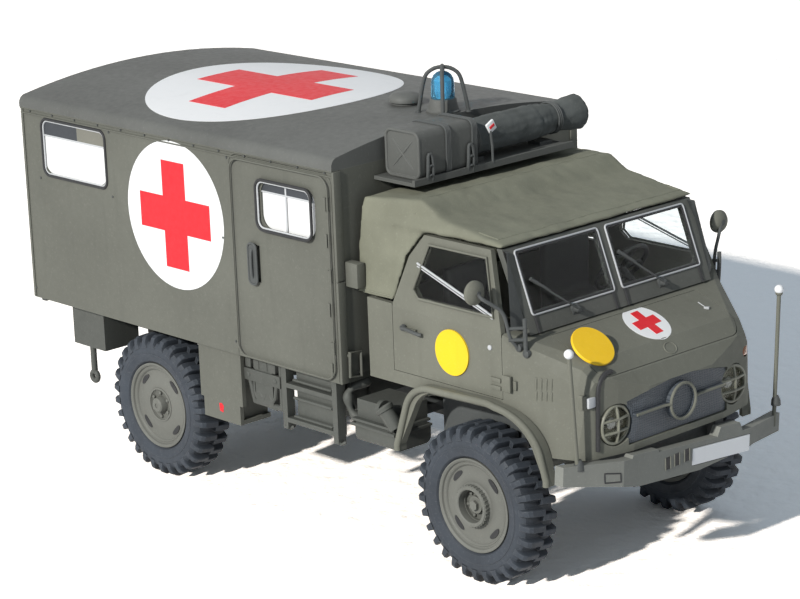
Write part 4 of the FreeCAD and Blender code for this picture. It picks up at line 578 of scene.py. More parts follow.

# %% [markdown]
# ## Pressed rims
# The rim is a steel pressing: a rolled flange, a step, a shallow dish with four slots cut
# along the circle, and a hub. Front hubs carry a deep ring with a knurled outside and a
# nut inside it; rear hubs are a shorter cap with six bolts. The slots are dark ovals let
# into the dish, painted shade that stands for the dark inside of each slot.

# %% Rims and hubs
def rim(name, body, lowest, highest, way, driven_hub):
    """way is -1 on the truck's right and 1 on its left, the side that the rim faces."""
    rim_middle, lip = 23.2, 3.2
    centre = Vector(((lowest.x + highest.x)/2, way*rim_middle, (lowest.z + highest.z)/2))
    turned_out = lambda profile: [(way*amount, radius) for amount, radius in profile]
    piece = Piece(name + "_pressing")
    profile = [(-3.1, 7.4), (-3.2, 8.0), (-2.9, 8.05), (lip - 0.35, 8.05), (lip, 8.02), (lip + 0.06, 7.8),
               (lip - 0.12, 7.5), (lip - 0.45, 7.35), (lip - 0.5, 7.1), (lip - 0.42, 6.95), (lip - 0.55, 6.75),
               (lip - 0.8, 6.6), (lip - 0.85, 6.3), (lip - 0.8, 5.6), (lip - 0.72, 5.0), (lip - 0.66, 4.5),
               (lip - 0.62, 4.0), (lip - 0.62, 3.4), (lip - 0.8, 2.7), (lip - 1.9, 2.65), (lip - 1.95, 1.3),
               (-0.3, 1.3), (-0.35, 7.0), (-3.1, 7.4)]
    piece.turned(turned_out(profile), centre, "y", 96)
    piece.done(rim_olive, body, stands_for=(name,), crisp=32)
    # Painted shade: each slot is a dark solid oval in place of an opening.
    slots = Piece(name + "_slots")
    slot_run, slot_wide, slot_radius, slot_ring = 1.45, 0.46, 5.9, 6.0
    slot_top, slot_depth, steps = lip - 0.70, 0.5, 24
    for n in range(4):
        spin = Matrix.Rotation(math.radians(45 + 90*n), 3, "Y")
        oval = []
        for k in range(steps):
            angle = 2*math.pi*k/steps
            run = slot_run*math.cos(angle)/slot_ring
            radius = slot_radius + slot_wide*math.sin(angle)
            oval.append(centre + spin @ Vector((math.sin(run)*radius, 0, math.cos(run)*radius)))
        high = slots.corners([spot + Vector((0, way*slot_top, 0)) for spot in oval])
        low = slots.corners([spot + Vector((0, way*(slot_top - slot_depth), 0)) for spot in oval])
        slots.facet(high)
        slots.facet(low[::-1])
        slots.band(low, high)
    slots.done(rubber_black, body, "chassis_paint")
    hub = Piece(name + "_hub")
    face = lip - 0.75
    if driven_hub:
        hub.turned(turned_out([(face - 0.3, 3.95), (face + 0.15, 3.85), (face + 0.4, 3.55), (face + 1.25, 3.5),
                               (face + 1.45, 3.35), (face + 1.45, 2.95), (face + 1.3, 2.8), (face - 0.6, 2.75),
                               (face - 0.6, 1.5), (face + 0.15, 1.45), (face + 0.15, 0)]), centre, "y", 72)
        knurls, knurl_radius, knurl = 34, 3.5, Vector((0.13, 0.11, 0.13))
        for n in range(knurls):
            spin = Matrix.Rotation(2*math.pi*n/knurls, 3, "Y")
            for level in (0.55, 0.85, 1.13):
                stud = centre + spin @ Vector((0, 0, knurl_radius)) + Vector((0, way*(face + level), 0))
                hub.block(stud - knurl, stud + knurl, 0.04)
        low, high = sorted((way*(face + 0.1), way*(face + 0.75)))
        nut = [(centre.z + 0.85*math.cos(math.radians(60*n)), centre.x + 0.85*math.sin(math.radians(60*n)))
               for n in range(6)]
        hub.plate(nut, "y", centre.y + low, centre.y + high)
        bolt_ring, first_bolt = 2.15, 20
        head = [(face - 0.7, 0.3), (face - 0.2, 0.3), (face - 0.1, 0.2), (face - 0.1, 0)]
    else:
        hub.turned(turned_out([(face - 0.2, 3.3), (face + 0.22, 3.15), (face + 0.25, 2.9), (face - 0.1, 2.75),
                               (face - 0.2, 2.6), (face - 0.3, 1.7), (face + 0.9, 1.35), (face + 1.1, 1.1),
                               (face + 1.1, 0.45), (face + 0.95, 0.4), (face + 0.95, 0)]), centre, "y", 72)
        bolt_ring, first_bolt = 2.25, 0
        head = [(face - 0.5, 0.34), (face + 0.12, 0.32), (face + 0.22, 0.2), (face + 0.22, 0)]
    for n in range(6):
        angle = math.radians(60*n + first_bolt)
        bolt = centre + Vector((bolt_ring*math.sin(angle), 0, bolt_ring*math.cos(angle)))
        hub.turned(turned_out(head), bolt, "y", 12)
    hub.done(rim_olive, body, crisp=30)

for name, way, driven in (("front_left", 1, True), ("front_right", -1, True),
                          ("rear_left", 1, False), ("rear_right", -1, False)):
    rim("rim_" + name, "wheel_" + name, *node_box("rim_" + name), way, driven)
print("rims, slots and hubs pressed for 4 wheels")

# %% [markdown]
# ## Markings that lie on the skin
# Discs and crosses are thin films. Each starts as a flat grid, is laid on the solid by
# casting every point against it, and is then given a thickness of a few hundredths of a
# millimetre, so that it follows the curved roof and the creased bonnet without gaps.

# %% Laying a film on a solid
def skin(*names):
    """A search tree over the surface of some solids."""
    verts, faces = [], []
    for name in names:
        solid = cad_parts[name]
        start = len(verts)
        verts += [solid.matrix_world @ vert.co for vert in solid.data.vertices]
        faces += [[start + k for k in face.vertices] for face in solid.data.polygons]
    return BVHTree.FromPolygons(verts, faces)

def film(name, cells, target, start, toward, one, two, finish, lift=0.05, thick=0.05, slot="white_plate"):
    """Lay flat cells (lists of (a, b) in mm from the start along one and two) on a target."""
    toward, one, two, start = Vector(toward).normalized(), Vector(one), Vector(two), Vector(start)
    piece = Piece(name)
    known, jump = {}, 3
    def laid(a, b):
        key = (round(a, 3), round(b, 3))
        if key not in known:
            origin = start + one*a + two*b
            hit, facing, _, depth = target.ray_cast(origin*MM, toward)
            if hit is None or (known and abs(depth/MM - known["depth"]) > jump):
                hit, facing, _, _ = target.find_nearest((origin + toward*known["depth"])*MM)
            else:
                known["depth"] = depth/MM
            spot = hit/MM
            facing = facing if hit and facing.dot(toward) < 0 else -toward
            known[key] = piece.corners([spot + facing*(lift - thick), spot + facing*lift])
        return known[key]
    edges = {}
    for cell in cells:
        spots = [laid(a, b) for a, b in cell]
        piece.facet([high for low, high in spots])
        piece.facet([low for low, high in spots[::-1]])
        for first, second in zip(spots, spots[1:] + spots[:1]):
            key = frozenset((first[1], second[1]))
            edges[key] = None if key in edges else (first, second)
    for pair in edges.values():
        if pair:
            (low, high), (low_next, high_next) = pair
            piece.facet([low, low_next, high_next, high])
    return piece.done(finish, slot=slot, crisp=50)

def disc(radius, rings=8, steps=64):
    """Cells of a round film."""
    def spot(ring, n):
        turn = 2*math.pi*(n % steps)/steps
        return radius*ring/rings*math.cos(turn), radius*ring/rings*math.sin(turn)
    cells = [[(0, 0), spot(1, n), spot(1, n + 1)] for n in range(steps)]
    return cells + [[spot(ring, n), spot(ring + 1, n), spot(ring + 1, n + 1), spot(ring, n + 1)]
                    for ring in range(1, rings) for n in range(steps)]

def cross(reach, arm, parts=6):
    """Cells of a film in the shape of an upright cross."""
    half, cells = arm/2, []
    for a0, a1, b0, b1 in ((-half, half, -half, half), (-reach, -half, -half, half), (half, reach, -half, half),
                           (-half, half, -reach, -half), (-half, half, half, reach)):
        count_a, count_b = [max(1, round(length/(arm/parts))) for length in (a1 - a0, b1 - b0)]
        cells += [[(a0 + (a1 - a0)*(i + di)/count_a, b0 + (b1 - b0)*(j + dj)/count_b)
                   for di, dj in ((0, 0), (1, 0), (1, 1), (0, 1))]
                  for i in range(count_a) for j in range(count_b)]
    return cells

print("films can be laid")

# %% [markdown]
# ## Crosses, discs and marks
# White discs go on first and red crosses a little higher, so that the two never flicker.
# The yellow disc on the nose is a plate of its own on two short pegs.

# %% Crosses, discs and marks
SIDES = (("right", -1), ("left", 1))
BESIDE = 34     # rays at a side start here, in mm from the middle of the truck
cross_lift = 0.09
walls = {"right": skin("box_wall_right", "side_door"), "left": skin("box_wall_left")}
for side, way in SIDES:
    place = (walls[side], (-24.55, way*BESIDE, 51.9), (0, -way, 0), X, Z)
    film(f"white_disc_{side}", disc(13.5), *place, white_enamel)
    film(f"red_cross_{side}", cross(9.8, 6.4), *place, red_enamel, cross_lift)
place = (skin("box_roof"), (-27.0, -2.5, 90), (0, 0, -1), X, Y)
film("white_disc_roof", disc(23.6, 14, 96), *place, white_enamel)
film("red_cross_roof", cross(16.0, 10.1), *place, red_enamel, cross_lift)
hood, skewed = skin("bonnet"), ((0, 0, -1), (1.05, -0.08, 0), (-0.08, 0.95, 0))
film("white_disc_bonnet", disc(4.3), hood, (60.9, 0.4, 60), *skewed, white_enamel)
film("red_cross_bonnet", cross(2.95, 1.95), hood, (60.8, 0.5, 60), *skewed, red_enamel, cross_lift)
for side, way in SIDES:
    film(f"yellow_disc_door_{side}", disc(3.85), skin("door_" + side, "cab_shell"), (42.4, way*BESIDE, 38.8),
         (0, -way, 0), X, Z, yellow_enamel, 0.30, 0.32)
lean = Vector((0.64, -0.03, 0.77)).normalized()
level_way = (Y - lean*lean.y).normalized()
Piece("yellow_disc_bonnet").turned(
    [(-0.25, 0), (-0.25, 3.7), (-0.15, 3.8), (0.15, 3.8), (0.25, 3.7), (0.25, 0)], (63.4, -15.2, 41.35),
    (lean, level_way, lean.cross(level_way)), 64).done(yellow_plate, slot="white_plate")
Piece("yellow_disc_foot").wire([(61.8, -15.0, 41.0), (61.9, -15.1, 42.3)], 0.5, 10).wire(
    [(63.2, -15.2, 39.6), (63.4, -15.2, 41.2)], 0.6, 10).done(body_olive)
film("mud_mark", [[(-0.5, -0.7), (0.4, -0.9), (0.6, 0.3), (0.1, 0.8), (-0.6, 0.7)]], skin("mud_panels"),
     (-15.5, -BESIDE, 17.9), (0, 1, 0), X, Z, red_enamel, 0.03, 0.03)
print("films laid: 4 discs with crosses, 2 yellow discs, 1 mark")

# %% [markdown]
# ## Window seals and panes
# The box windows sit in soft dark seals. A seal is a tube that runs round a rounded
# rectangle and is pressed a little into the wall. Inside each, the pane is frosted white
# below and shows a blind above, grey and tan, with a thin rail between them.

# %% Seals, blinds and dividers
def rounded_loop(a0, a1, b0, b1, corner, steps=7):
    """Points of a rounded rectangle in two dimensions."""
    loop = []
    for ca, cb, start in ((a1 - corner, b1 - corner, 0), (a0 + corner, b1 - corner, 90),
                          (a0 + corner, b0 + corner, 180), (a1 - corner, b0 + corner, 270)):
        for k in range(steps + 1):
            angle = math.radians(start + 90*k/steps)
            loop.append((ca + corner*math.cos(angle), cb + corner*math.sin(angle)))
    return loop

def dress_window(name, x, z, way, split, upright=None):
    """Seal, rails and blinds of a window; split is the height of the rail between the panes."""
    on_door = "door" in name
    wall, pane = way*(29.6 if on_door else 29.05), way*28.75
    loop = rounded_loop(x[0] - 0.1, x[1] + 0.1, z[0] - 0.1, z[1] + 0.1, 1.6)
    Piece(f"seal_{name}").wire([(a, wall, b) for a, b in loop], 0.27, 10, closed=True).done(
        rubber_black, slot="chassis_paint")
    rail = Piece(f"rail_{name}")
    loop = rounded_loop(x[0] + 0.25, x[1] - 0.25, z[0] + 0.25, z[1] - 0.25, 1.4)
    rail.wire([(a, wall - way*0.15, b) for a, b in loop], 0.17, 8, closed=True)
    low, high = sorted((pane, pane + way*0.12))
    rail.block((x[0] + 0.3, low, split - 0.16), (x[1] - 0.3, high, split + 0.16), 0.05)
    if upright is not None:
        low, high = sorted((pane, pane + way*0.14))
        rail.block((upright - 0.2, low, z[0] + 0.3), (upright + 0.2, high, z[1] - 0.3), 0.05)
    rail.done(bright_metal)
    part = x[1] - 0.5 if on_door else 0.45*x[0] + 0.55*x[1]
    for tone, a, b, finish in (("grey", x[0] + 0.5, part, grey_blind), ("tan", part, x[1] - 0.5, tan_blind)):
        if b - a > 0.1:
            outline = [(split + 0.15, b), (z[1] - 0.4, b), (z[1] - 0.4, a), (split + 0.15, a)]
            Piece(f"blind_{tone}_{name}").plate(outline, "y", *sorted((pane - way*0.02, pane + way*0.06))).done(
                finish, slot="frosted_pane")
    print("window dressed:", name)

rear_window, door_window = ((-63.15, -44.05), (53.9, 64.45)), ((-1.2, 12.85), (53.35, 62.0))
dress_window("rear_right", *rear_window, -1, 61.4)
dress_window("rear_left", *rear_window, 1, 61.4)
dress_window("side_door", *door_window, -1, 59.9, 5.75)

# %% [markdown]
# ## Laying parts on the skin
# Small fittings have to touch the sheet metal that carries them. A ray shot at a solid
# gives the point where it meets the surface, so a fitting never floats and never sinks
# when a slope or a curve lies under it.

# %% Touching a surface
def touch(target, spot, toward, lift=0.0):
    """The point where a ray from a spot meets a surface, in mm, lifted back along the ray."""
    toward = Vector(toward).normalized()
    hit = target.ray_cast(Vector(spot)*MM, toward)[0]
    if hit is None:
        hit = target.find_nearest(Vector(spot)*MM)[0]
    return hit/MM - toward*lift

def traced(target, spots, toward, lift=0.0):
    """A line of spots, each brought to the surface."""
    return [touch(target, spot, toward, lift) for spot in spots]

def box_of(spots):
    """Lowest and highest corner of the box round some spots."""
    return [Vector([pick(spot[k] for spot in spots) for k in range(3)]) for pick in (min, max)]

def corners_of(name):
    """Every corner of a solid, in mm."""
    return [vert.co/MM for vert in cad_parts[name].data.vertices]

def middle_of(name, chosen):
    """Middle of the box round the chosen corners of a solid, in mm."""
    low, high = box_of([spot for spot in corners_of(name) if chosen(spot)])
    return (low + high)/2

from_front, from_above = (-1, 0, 0), (0, 0, -1)
nose = skin("cab_shell", "bonnet", "grille", "windscreen_frame")
print("surface of the nose ready")

# %% [markdown]
# ## Canvas hood, seats and what a remesh does for them
# The hood and the seats are moulded, but they have to look like cloth over hoops. A voxel
# remesh turns the sharp solid into an even skin of small squares, smoothing rounds every
# fold the way cloth does, and a cloud pattern moves the skin a fraction of a millimetre in
# and out. The new skin stays in the room of its solid and takes its place.

# %% Soften a solid
def softened(name, node, finish, voxel, passes, wave, wave_size, depth=0.5, swell=None):
    """Remesh, smooth and ripple a copy of a solid; sizes in mm."""
    piece = bpy.data.objects.new(name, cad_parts[node].data.copy())
    bpy.context.scene.collection.objects.link(piece)
    squares = piece.modifiers.new("squares", "REMESH")
    squares.mode = "VOXEL"
    squares.voxel_size = voxel*MM
    even = piece.modifiers.new("even", "SMOOTH")
    even.factor, even.iterations = 0.5, passes
    clouds = bpy.data.textures.new(name, "CLOUDS")
    clouds.noise_scale, clouds.noise_depth = wave_size*MM, 2
    ripple = piece.modifiers.new("ripple", "DISPLACE")
    ripple.texture, ripple.strength, ripple.mid_level = clouds, wave*MM, depth
    if swell:
        for vert in piece.data.vertices:
            vert.co = Vector(swell(vert.co/MM))*MM
    bpy.context.view_layer.update()
    made = bpy.data.meshes.new_from_object(piece.evaluated_get(bpy.context.evaluated_depsgraph_get()))
    piece.modifiers.clear()
    piece.data = made
    repaint(made, finish)
    made.shade_smooth()
    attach(piece, "truck")
    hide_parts(node)
    print(name, len(made.polygons), "faces")
    return piece

def full_at_rear(spot):
    """The cloth stands out over the rear hoop: wider at the top, and further back."""
    held = lambda amount: min(1, max(0, amount))
    behind, high, outer = held((36 - spot.x)/12), held((spot.z - 46)/9), held((abs(spot.y) - 12)/8)
    wider = 2.2*behind*high*outer*math.copysign(1, spot.y)
    return spot.x - 1.5*held((26 - spot.x)/5), spot.y + wider, spot.z

cloth = softened("canvas_hood", "canvas_top", canvas_khaki, 0.42, 9, 0.5, 5.0, 0.62,
                 full_at_rear)
softened("seat_covers", "seats", cab_black, 0.5, 7, 0.3, 3.0, 0.6)

# %% [markdown]
# ## Hems and seams of the hood
# A hood is sewn from panels, and each seam is a low double fold. A thin tube laid half
# into the surface gives that line of shade: one along the front hem, one over the rear
# hoop, and a rolled hem round the bottom of each flap.

# %% Seams
hood_skin = BVHTree.FromObject(cloth, bpy.context.evaluated_depsgraph_get())
seams = Piece("canvas_seams")
for x in (49.3, 31.6):
    over = [(x, 23.2 - 46.4*n/30, 80) for n in range(31)]
    seams.wire(traced(hood_skin, over, from_above, -0.04), 0.14, 8)
for side, way in SIDES:
    hem = [(20.9 + 7.0*n/8, way*BESIDE, 45.5) for n in range(9)]
    seams.wire(traced(hood_skin, hem, (0, -way, 0), -0.02), 0.15, 8)
seams.done(canvas_khaki, slot="canvas_paint")
print("seams laid on the hood")

# %% [markdown]
# ## Windscreen
# Two flat panes sit in thin bright mouldings, with a post between them. A wiper stands
# under each pane: a boss, a sprung arm and a blade that lies on the glass. Each moulding
# is a closed wire laid along the edge of its pane.

# %% Mouldings and wipers
glass_low, glass_high = node_box("windscreen_glass")
post = min(abs(spot.y) for spot in corners_of("windscreen_glass"))
screen, ahead = skin("windscreen_frame", "windscreen_glass"), 70
moulding, seal = Piece("screen_mouldings"), Piece("screen_seals")
for side, way in SIDES:
    y0, y1 = sorted((way*(post + 0.05), way*(glass_high.y - 0.05)))
    for piece, edges, lift, radius in (
            (moulding, (y0 - 0.35, y1 + 0.35, glass_low.z - 0.25, glass_high.z + 0.35), 0.1, 0.17),
            (seal, (y0, y1, glass_low.z + 0.1, glass_high.z), 0.05, 0.18)):
        loop = [(ahead, y, z) for y, z in rounded_loop(*edges, 0.5, 4)]
        piece.wire(traced(screen, loop, from_front, lift), radius, 8, closed=True)
moulding.done(bright_metal)
seal.done(rubber_black, slot="chassis_paint")

wipers = Piece("wipers")
for foot, tip in (((-10.8, 45.2), (-18.9, 51.6)), ((10.1, 45.2), (1.9, 51.9))):
    base = touch(screen, (ahead, *foot), from_front)
    end = touch(screen, (ahead, *tip), from_front, 0.55)
    knee = base + Vector((1.0, -0.4, 0.35))
    wipers.turned([(-0.5, 0.95), (0.25, 0.9), (0.5, 0.6), (0.95, 0.55), (1.15, 0.35), (1.15, 0)], base, "x", 24)
    wipers.plate([(base.y - 0.7, base.z - 1.3), (base.y + 1.9, base.z - 0.7), (base.y + 0.7, base.z + 0.2),
                  (base.y - 0.9, base.z + 0.3)], "x", base.x - 0.3, base.x + 0.35, 0.1)
    wipers.wire([base + 0.9*X, knee, end.lerp(knee, 0.55), end.lerp(base, 0.45) + 0.5*X], 0.17, 8)
    blade = end.lerp(base, 0.62) + 0.45*X
    wipers.wire([end, end.lerp(blade, 0.5) + Vector((0.12, 0, 0.05)), blade], lambda t: 0.30 - 0.12*t, 10)
wipers.done(dark_olive)
print("windscreen post half width", round(post, 2))

# %% [markdown]
# ## Pillars beside the windscreen
# Between the door and the screen stands a folded pillar. It is a thin sloping plate that
# closes the gap at each side and carries the mirror bracket at its foot.

# %% Pillars
pillars = Piece("screen_pillars")
for side, way in SIDES:
    outer = [(54.2, way*24.3, 44.7), (52.0, way*22.65, 56.3), (50.6, way*22.2, 56.5), (55.7, way*22.3, 44.5)]
    outer, inner = pillars.corners(outer), pillars.corners([(x - 0.2, y - way*0.7, z) for x, y, z in outer])
    pillars.facet(outer)
    pillars.facet(inner[::-1])
    pillars.band(outer, inner)
pillars.done(dark_olive)
print("pillars folded on both sides")

# %% [markdown]
# ## Mirrors
# Each mirror is a round pressed bowl on a bent tube. The tube leaves the back of the bowl,
# runs in towards the cab, and drops to a two-legged bracket at the foot of the pillar.

# %% Mirror heads, arms and brackets
# Foot of the arm and front of the leg on the cab, the leg's spread, and the arm's bends.
mirror_arms = {
    "right": ((56.2, 41.9), 57.4, 0.0, [(53.4, -29.9, 50.6), (54.6, -28.1, 49.2), (55.3, -26.9, 48.0),
                                        (55.6, -26.4, 45.3), (55.8, -26.1, 43.6)]),
    "left": ((53.0, 41.4), 54.2, 0.5, [(52.3, 28.9, 50.3), (52.6, 28.0, 48.8), (52.9, 26.8, 46.8),
                                       (52.9, 26.5, 44.5)])}
clear_out, bracket = 40, [(-0.3, 0.7), (0.35, 0.65), (0.5, 0.4), (0.5, 0)]
for side, way in SIDES:
    (foot_x, foot_z), leg_x, spread, bends = mirror_arms[side]
    head = middle_of("mirrors", lambda spot: spot.z > 49.5 and spot.y*way > 26)
    Piece(f"mirror_bowl_{side}").turned(
        [(-0.55, 0), (-0.55, 1.85), (-0.6, 1.95), (-0.4, 2.0), (0.0, 1.98), (0.45, 1.6), (0.75, 0.85), (0.85, 0)],
        head, "x", 40).done(body_olive)
    Piece(f"mirror_glass_{side}").turned(
        [(-0.62, 0), (-0.62, 1.8), (-0.5, 1.85), (-0.5, 0)], head, "x", 40).done(bright_metal)
    arm, flank, rays = Piece(f"mirror_arm_{side}"), skin("cab_shell", "door_" + side), (0, -way, 0)
    base = touch(flank, (foot_x, way*clear_out, foot_z), rays, 0.3)
    arm.wire([head + 0.5*X, *bends, base], 0.3, 10, smooth=2)
    arm.turned([(-0.3, 0.5), (0.5, 0.45), (0.5, 0)], head + 0.4*X, "x", 16)
    leg = touch(flank, (leg_x, way*clear_out, 41.0), rays, 0.2)
    knee = leg + Vector((-0.1, way*spread, 3.6))
    arm.wire([knee + 2.2*Z, knee, leg], 0.36, 10, smooth=1)
    for z in (45.3, 43.4):
        arm.wire([(55.6 + (leg_x - 57.4)*0.84, way*26.3, z), (leg_x - 0.1, leg.y + way*0.1, z)], 0.3, 8)
    for x, z in ((base.x, base.z), (leg.x, leg.z)):
        arm.turned(bracket, touch(flank, (x, way*clear_out, z), rays), outward(way), 16)
    arm.done(dark_olive)
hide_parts("mirrors")
print("mirrors on both sides")

# %% [markdown]
# ## Cab doors
# A door has a sliding pane behind a rail that falls from the rear corner to the front, a
# folded edge round the window, a bar handle, and a strap hinge at the front whose leaf
# sits on the cowl. Pressed air louvres follow in front of it.

# %% Rails, handles, hinges and louvres
def ring_round(points):
    """The outer outline of a cloud of flat points."""
    points = sorted(set((round(a, 2), round(b, 2)) for a, b in points))
    turn_of = lambda o, a, b: (a[0] - o[0])*(b[1] - o[1]) - (a[1] - o[1])*(b[0] - o[0])
    halves = []
    for order in (points, points[::-1]):
        half = []
        for p in order:
            while len(half) > 1 and turn_of(half[-2], half[-1], p) <= 0:
                half.pop()
            half.append(p)
        halves.append(half[:-1])
    return halves[0] + halves[1]

# Front and back, bottom and top of each block, and how far it stands out of the door.
hinge_blocks = ((53.6, 55.4, 34.5, 37.2, 0.35), (55.4, 56.1, 34.9, 36.4, 0.25),
                (51.1, 53.4, 35.8, 36.5, 0.16), (51.1, 53.4, 34.5, 35.2, 0.16))
louvre_first, louvre_step, louvres = 58.9, 0.78, 4
for side, way in SIDES:
    rays = (0, -way, 0)
    flank = skin("cab_shell", "door_" + side)
    rail = Piece(f"door_rail_{side}")
    for drop, width in ((0.0, 0.2), (0.5, 0.12)):
        rail.wire([(33.15, way*24.55, 51.93 - drop), (51.6, way*25.7, 46.5 - drop)], width, 8)
    rail.done(bright_metal)
    spots = [spot for spot in corners_of("door_glass") if spot.y*way > 0]
    outside = {(round(v.x, 2), round(v.z, 2)): way*max(way*w.y for w in spots if (w.xz - v.xz).length < 0.02)
               for v in spots}
    Piece(f"door_edge_{side}").wire(
        [(x, outside[(x, z)] + way*0.12, z) for x, z in ring_round([(v.x, v.z) for v in spots])],
        0.24, 8, closed=True).done(body_olive)
    fittings = Piece(f"door_fittings_{side}")
    for x0, x1, z0, z1, proud in hinge_blocks:
        base = touch(flank, ((x0 + x1)/2, way*BESIDE, (z0 + z1)/2), rays)
        low, high = sorted((base.y, base.y + way*proud))
        fittings.block((x0, low - 0.1, z0), (x1, high + 0.1, z1), 0.12)
    for z0, z1 in ((35.3, 37.2), (33.5, 35.0)):
        for n in range(louvres):
            x = louvre_first + n*louvre_step
            low, high = traced(flank, [(x, way*BESIDE, z0), (x + 0.05, way*BESIDE, z1)], rays, -0.08)
            fittings.wire([low, low.lerp(high, 0.5) + Vector((0, way*0.08, 0)), high], 0.2, 8, smooth=1)
    fittings.done(body_olive)
    root, lock = traced(flank, [(31.2, way*BESIDE, 41.0), (51.1, way*BESIDE, 41.3)], rays)
    handle = Piece(f"door_handle_{side}")
    handle.wire([root, root + Vector((0, way*0.45, 0)), (31.9, way*26.75, 41.0), (35.0, way*26.75, 40.55),
                 (35.5, way*26.45, 40.5)], 0.32, 10, smooth=1)
    handle.turned([(-0.2, 0.6), (0.3, 0.5), (0.3, 0)], root, outward(way), 16)
    Piece(f"door_lock_{side}").turned(
        [(-0.1, 0.45), (0.2, 0.42), (0.3, 0.25), (0.3, 0)], lock, outward(way), 16).done(bright_metal)
    handle.done(dark_olive)
print("doors fitted on both sides")

# %% [markdown]
# ## Headlamps
# A lamp has a bowl, a bulb, a fluted glass and a stone guard. The bowl and the glass are
# turned; the glass is ribbed by moving its points in and out along a sine. The guard is a
# ring with one upright and two cross bars that bulge over the glass.

# %% Lamps and guards
lamp_cream = paint("lamp_cream", (0.20, 0.20, 0.155), pale=(0.42, 0.42, 0.34), dark=0.35, patch=0.25,
                   patch_scale=300, rub=0.5, dirt_and_shade=0.8, rough=0.4)
lamp_glass = clear("lamp_glass", (0.88, 0.90, 0.88), rough=0.02)
amber_lens = clear("amber_lens", (0.40, 0.14, 0.06), rough=0.15, see_through=0.35)
lamp_low, lamp_high = node_box("headlamps")
lamp_wide = (lamp_high.z - lamp_low.z)/2
lamp_front, lamp_level = 65.3, (lamp_low.z + lamp_high.z)/2
glass_radius, glass_front, bulge, flute, glass_thick = 2.95, 2.05, 0.35, 0.05, 0.16
guard_radius, guard_front, guard_bulge = 3.12, 2.45, 0.55
shell_profile = [(0, 3.25), (0.7, 3.35), (1.5, 3.38), (1.95, 3.3), (2.1, 3.12), (2.0, 2.98), (1.6, 2.95),
                 (0.9, 2.5), (0.45, 1.7), (0.3, 0.9), (0.3, 0)]
bulb_profile = [(0.3, 0.5), (0.9, 0.5), (1.1, 0.85), (1.5, 0.95), (1.85, 0.7), (1.95, 0.3), (1.95, 0)]

def fluted(glass, centre, steps=72, rings=12):
    """A bulged glass whose thickness waves, from its middle to its rim."""
    def row(ring, behind):
        radius, spots = glass_radius*ring/rings, []
        for n in range(steps):
            y, z = radius*math.cos(math.tau*n/steps), radius*math.sin(math.tau*n/steps)
            front = glass_front + bulge*(1 - (radius/glass_radius)**2) + flute*math.sin(7*y)
            spots.append(centre + Vector((front - behind, y, z)))
        return spots
    fronts, backs = [[glass.corners(row(ring, behind)) for ring in range(1, rings + 1)]
                     for behind in (0, glass_thick)]
    for layer, behind in ((fronts, 0), (backs, glass_thick)):
        top = glass.mesh.verts.new(row(0, behind)[0])
        for n in range(steps):
            glass.facet([top, layer[0][n], layer[0][(n + 1) % steps]])
        for first, second in zip(layer, layer[1:]):
            glass.band(first, second)
    glass.band(fronts[-1], backs[-1])

def bar(guard, centre, aside, upright):
    """A bar across a guard's ring that bulges over the glass."""
    reach, spots = math.sqrt(guard_radius**2 - aside**2), []
    for n in range(13):
        far = -reach + 2*reach*n/12
        front = guard_front + guard_bulge*(1 - (far/reach)**2)*(1 - (aside/guard_radius)**2)
        spots.append(centre + Vector((front, aside, far) if upright else (front, far, aside)))
    guard.wire(spots, 0.24, 8)

for side, y, stands_for in (("right", lamp_low.y + lamp_wide, (("headlamps",), ("lamp_guards",))),
                            ("left", lamp_high.y - lamp_wide, ((), ()))):
    centre = Vector((lamp_front, y, lamp_level))
    Piece(f"lamp_shell_{side}").turned(shell_profile, centre, "x", 64).done(
        lamp_cream, slot="lamp_lens", stands_for=stands_for[0])
    Piece(f"lamp_bulb_{side}").turned(bulb_profile, centre, "x", 24).done(bright_metal, slot="lamp_lens")
    glass = Piece(f"lamp_glass_{side}")
    fluted(glass, centre)
    glass.done(lamp_glass, slot="lamp_lens")
    guard = Piece(f"lamp_guard_{side}")
    guard.wire(circle(centre + guard_front*X, guard_radius, Y, Z, 48), 0.27, 8, closed=True)
    bar(guard, centre, 0.15, True)
    bar(guard, centre, 0.95, False)
    bar(guard, centre, -1.15, False)
    for n in range(3):
        angle = math.tau*n/3 + 0.5
        out = Vector((0, math.cos(angle), math.sin(angle)))
        guard.wire([centre + guard_front*X + out*guard_radius, centre + 1.6*X + out*3.45], 0.2, 8)
    guard.done(lamp_cream, slot="lamp_lens", stands_for=stands_for[1])
print("lamps at", [round(k, 2) for k in centre])

# %% [markdown]
# ## Side lamps
# High on each corner of the nose is a small square lamp in a folded bracket. One lens is
# bright and the other amber. Block and lens are eased so that they catch an edge of light.

# %% Side lamps
for side, y, front, lens, stands_for in (("right", -19.6, 67.3, bright_metal, ("turn_lamps",)),
                                         ("left", 17.6, 67.0, amber_lens, ())):
    Piece(f"side_lamp_{side}").block((63.9, y - 1.25, 32.5), (66.75, y + 1.25, 34.95), 0.3).done(
        body_olive, stands_for=stands_for)
    Piece(f"side_lamp_lens_{side}").block((66.65, y - 0.85, 32.85), (front, y + 0.85, 34.6), 0.25).done(
        lens, slot="lamp_lens")
print("side lamps on both corners")

# %% [markdown]
# ## Air hose on the corner
# A dark hose climbs the right front corner and hooks over towards the bonnet. It keeps
# close to the sheet along its whole length.

# %% Corner hose
hose_line = [(66.4, -14.7, 37.6), (67.2, -15.1, 37.9), (67.2, -16.2, 38.0), (67.25, -17.5, 37.2),
             (67.25, -18.3, 35.8), (67.25, -18.4, 33.0), (67.25, -18.4, 30.6), (67.2, -18.5, 25.4)]
Piece("corner_hose").wire(hose_line, 0.42, 12, smooth=1).turned(
    [(-0.3, 0.62), (0.55, 0.62), (0.55, 0)], hose_line[0], "y", 16).done(rubber_black, slot="chassis_paint")
print("hose of", len(hose_line), "points")

# %% [markdown]
# ## Grille
# The opening is filled with a fine woven mesh. Two band patterns at right angles, one for
# each set of wires, give the mesh its colour and its relief at the real spacing. Over it
# lie a ring and a bar on each side of the ring, in a paler paint.

